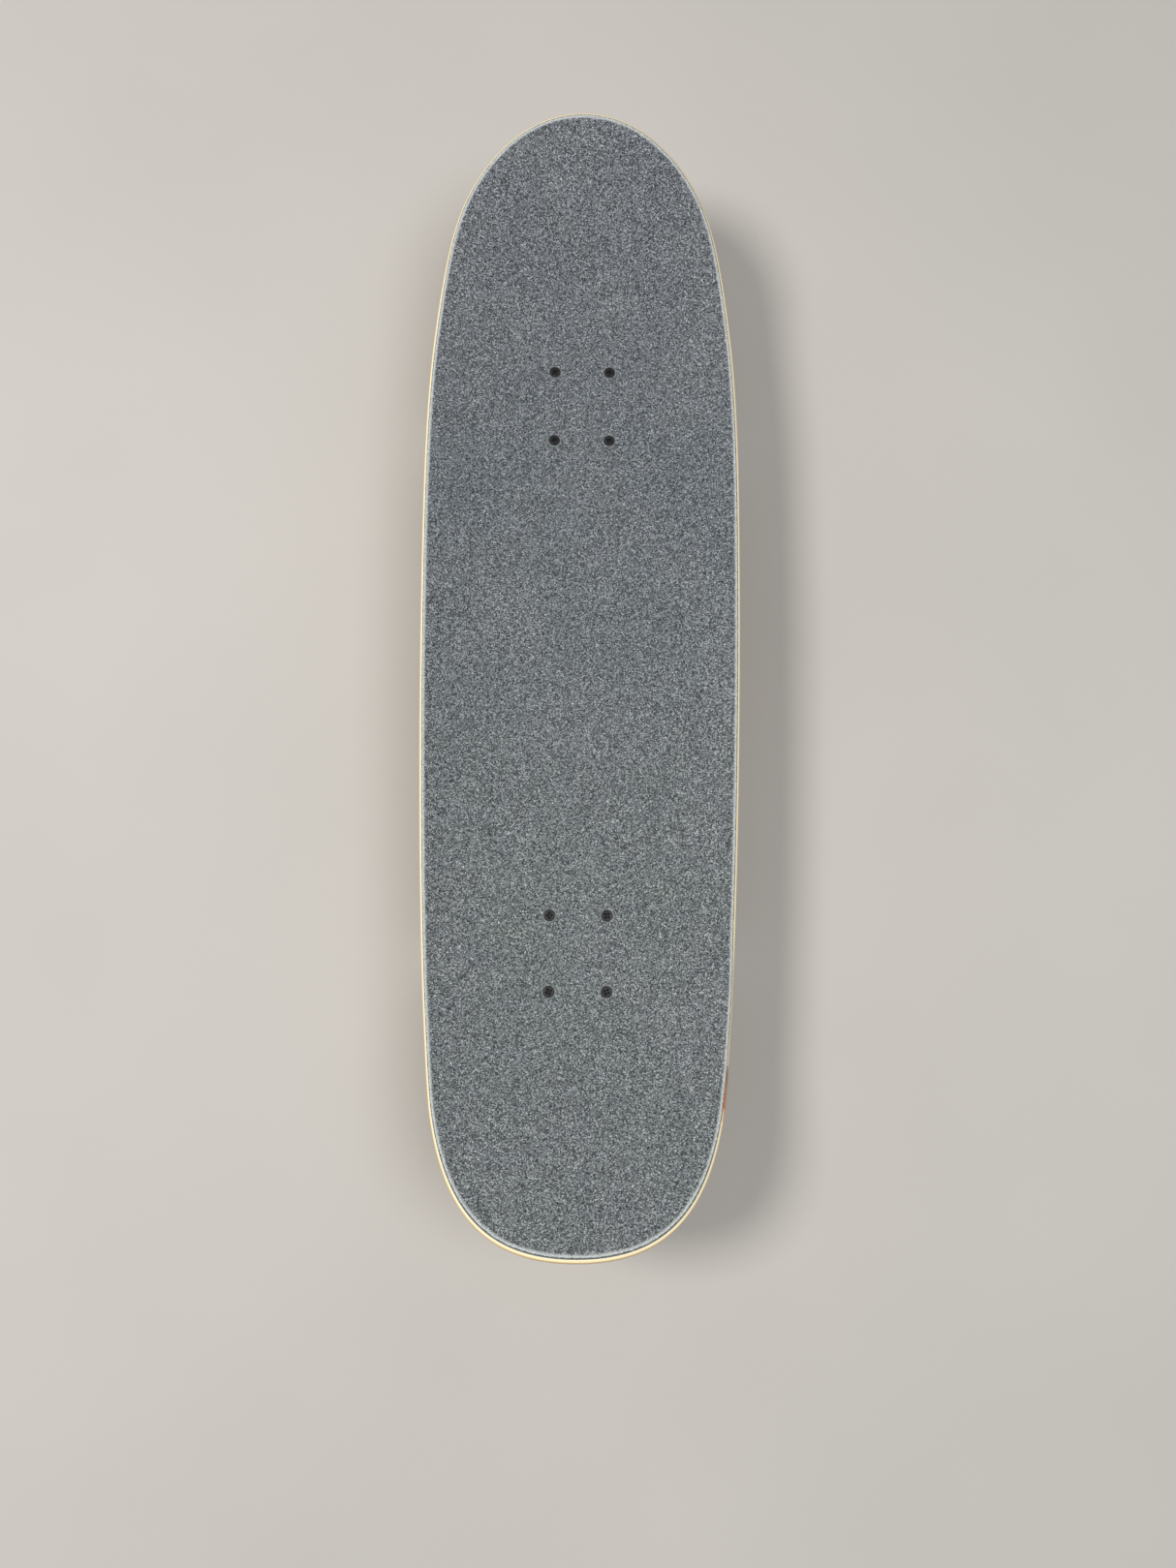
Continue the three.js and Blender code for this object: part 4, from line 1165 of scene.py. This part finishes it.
def add_wheel(truck, side):
    name = f"{truck}_{side}"
    hanger_body = f"{truck}_truck"
    wheel_body = f"{name}_wheel"
    outwards = X * SIDES[side]
    centre = centre_mm(f"{name}_wheel")
    centre.z = WHEEL_RADIUS
    wheel = wheel_object(f"{name}_tyre", centre, outwards)
    place(wheel, urethane, "urethane", wheel_body, [f"{name}_wheel"])

    def turned(profile, piece, sides=96):
        return object_of(revolve(profile, centre, outwards, sides), f"{name}_{piece}")

    for where, low in (("inner", -BEARING_SPAN / 2), ("outer", SPACER / 2)):
        high = low + BEARING_WIDTH
        race = turned(rounded_ring(9.6, BEARING_RADIUS, low, high, 0.4), f"{where}_race")
        place(race, ground_steel, "bearing_steel", wheel_body, [f"{name}_{where}_bearing"])
        inside = [(6.3, low + 0.6), (6.5, low + 0.35), (9.2, low + 0.35), (9.65, low + 0.6)]
        outside = [(9.65, high - 0.6), (9.2, high - 0.35), (6.5, high - 0.35), (6.3, high - 0.6)]
        shield = turned(closed(inside + outside), f"{where}_shield")
        place(shield, shield_rubber, "bearing_steel", wheel_body)
        inner = turned(rounded_ring(AXLE_HOLE, 6.2, low, high, 0.3), f"{where}_inner_race")
        place(inner, ground_steel, "bearing_steel", hanger_body)
    half = SPACER / 2 - HAIR
    spacer = turned(rounded_ring(AXLE_HOLE, 6.0, -half, half, 0.3), "bearing_spacer", 64)
    place(spacer, zinc, "plated_steel", hanger_body, [f"{name}_spacer"])
    for where, low in (("inner", -BEARING_SPAN / 2 - 0.97), ("outer", BEARING_SPAN / 2 + 0.02)):
        washer = turned(rounded_ring(AXLE_HOLE, 6.6, low, low + 0.93, 0.2), f"{where}_speed_washer", 64)
        place(washer, zinc, "plated_steel", hanger_body)
    foot = centre + outwards * (BEARING_SPAN / 2 + 1)
    nut, insert = locknut_with_ring(AXLE_NUT, AXLE_RADIUS, foot, outwards, f"{name}_lock_nut")
    place(nut, zinc, "plated_steel", hanger_body, [f"{name}_axle_nut"])
    place(insert, nylon, "plated_steel", hanger_body)


def truck_matrix(truck):
    """From the truck's own frame, whose Y points away from the board's middle, to the board's."""
    turn = Matrix.Rotation(0 if TRUCKS[truck] > 0 else math.pi, 4, "Z")
    return Matrix.Translation((0, pattern_y[truck], 0)) @ turn


def add_truck(truck):
    matrix = truck_matrix(truck)
    hanger_body = f"{truck}_truck"

    def put(obj, material, slot, body, *nodes):
        place(obj, material, slot, body, [f"{truck}_{node}" for node in nodes], matrix)

    casting = baseplate_object(f"{truck}_base_casting")
    put(casting, cast_aluminium, "cast_aluminium", "board", "baseplate")
    cup = object_of(pivot_cup_shape(), f"{truck}_pivot_bush")
    put(cup, bushing_urethane, "bushing", "board", "pivot_cup")
    put(kingpin_object(f"{truck}_king_bolt"), zinc, "plated_steel", "board", "kingpin")
    foot = along_kingpin(NUT_FOOT)
    nut, insert = locknut_with_ring(KINGPIN_NUT, KINGPIN_RADIUS, foot, -kingpin_up, f"{truck}_king_nut")
    put(nut, zinc, "plated_steel", "board", "kingpin_nut")
    put(insert, nylon, "plated_steel", "board")
    for kind, up in (("board", True), ("road", False)):
        low, high = STACK[f"{kind}_washer"]
        washer = object_of(cup_washer_shape(low, high, up), f"{truck}_{kind}_cup")
        put(washer, zinc, "plated_steel", "board", f"{kind}_washer")
    for kind in ("board", "road"):
        low, high = STACK[f"{kind}_bushing"]
        bushing = object_of(bushing_shape(kind, low, high), f"{truck}_{kind}_cushion")
        put(bushing, bushing_urethane, "bushing", None, f"{kind}_bushing")
        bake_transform(bushing)
    casting = hanger_object(f"{truck}_hanger_casting")
    put(casting, cast_aluminium, "cast_aluminium", hanger_body, "hanger")
    centre = axle_centre[truck]
    plain = revolve(rod(AXLE_RADIUS, -106, 106, SHARP), centre, X, 48)
    ends = [threaded(AXLE_RADIUS, 105.5, AXLE_HALF, AXLE_PITCH, centre, X * side, 48) for side in (-1, 1)]
    axle = joined([plain, *ends], f"{truck}_axle_rod")
    place(axle, zinc, "plated_steel", hanger_body, [f"{truck}_axle"])
    for side in SIDES:
        add_wheel(truck, side)


for truck in TRUCKS:
    add_truck(truck)


# ---- Floor, light and camera ----


def floor_material():
    n = Nodes("floor")
    place_at = n.object_place()
    cloud = n.noise(place_at, 3, 3)
    colour = n.mix(n.remap(cloud, 0.3, 0.7), (0.50, 0.475, 0.44), (0.53, 0.50, 0.465))
    return n.set(Base_Color=colour, Roughness=0.8)


FLOOR_SIZE = 12
WORLD_LIGHT = 0.36

bpy.ops.mesh.primitive_plane_add(size=FLOOR_SIZE)
floor = bpy.context.object
floor.name = "floor"
floor.data.materials.append(floor_material())


def add_area(name, at, target, size, power, colour):
    light = bpy.data.lights.new(name, "AREA")
    light.shape = "DISK"
    light.size = size
    light.energy = power
    light.color = colour
    made = bpy.data.objects.new(name, light)
    made.location = at
    made.rotation_euler = (Vector(target) - Vector(at)).to_track_quat("-Z", "Y").to_euler()
    bpy.context.scene.collection.objects.link(made)


add_area("key", (-1.4, 0.1, 2.4), (0, 0, 0), 0.8, 49, (1.0, 0.98, 0.95))
add_area("fill", (0.9, -0.3, 2.6), (0, 0, 0), 1.3, 26, (0.96, 0.98, 1.0))

world = bpy.data.worlds.new("studio")
bpy.context.scene.world = world
world.use_nodes = True
background = world.node_tree.nodes["Background"]
background.inputs["Color"].default_value = (0.95, 0.97, 1.0, 1)
background.inputs["Strength"].default_value = WORLD_LIGHT

CAMERA_PLACE = Vector((1.0, WHEELBASE_MIDDLE - 186.2, GRIP_TOP + 849.3))
CAMERA_TURN = (6.94, -0.41, 0.38)
FOCAL_LENGTH = 27.04  # with a sensor 36 mm long
camera_data = bpy.data.cameras.new("camera")
camera_data.lens = FOCAL_LENGTH
camera_data.sensor_width = 36
camera = bpy.data.objects.new("camera", camera_data)
camera.location = CAMERA_PLACE * MM
camera.rotation_euler = [math.radians(angle) for angle in CAMERA_TURN]
bpy.context.scene.collection.objects.link(camera)
bpy.context.scene.camera = camera
bpy.context.scene.view_settings.view_transform = "Standard"
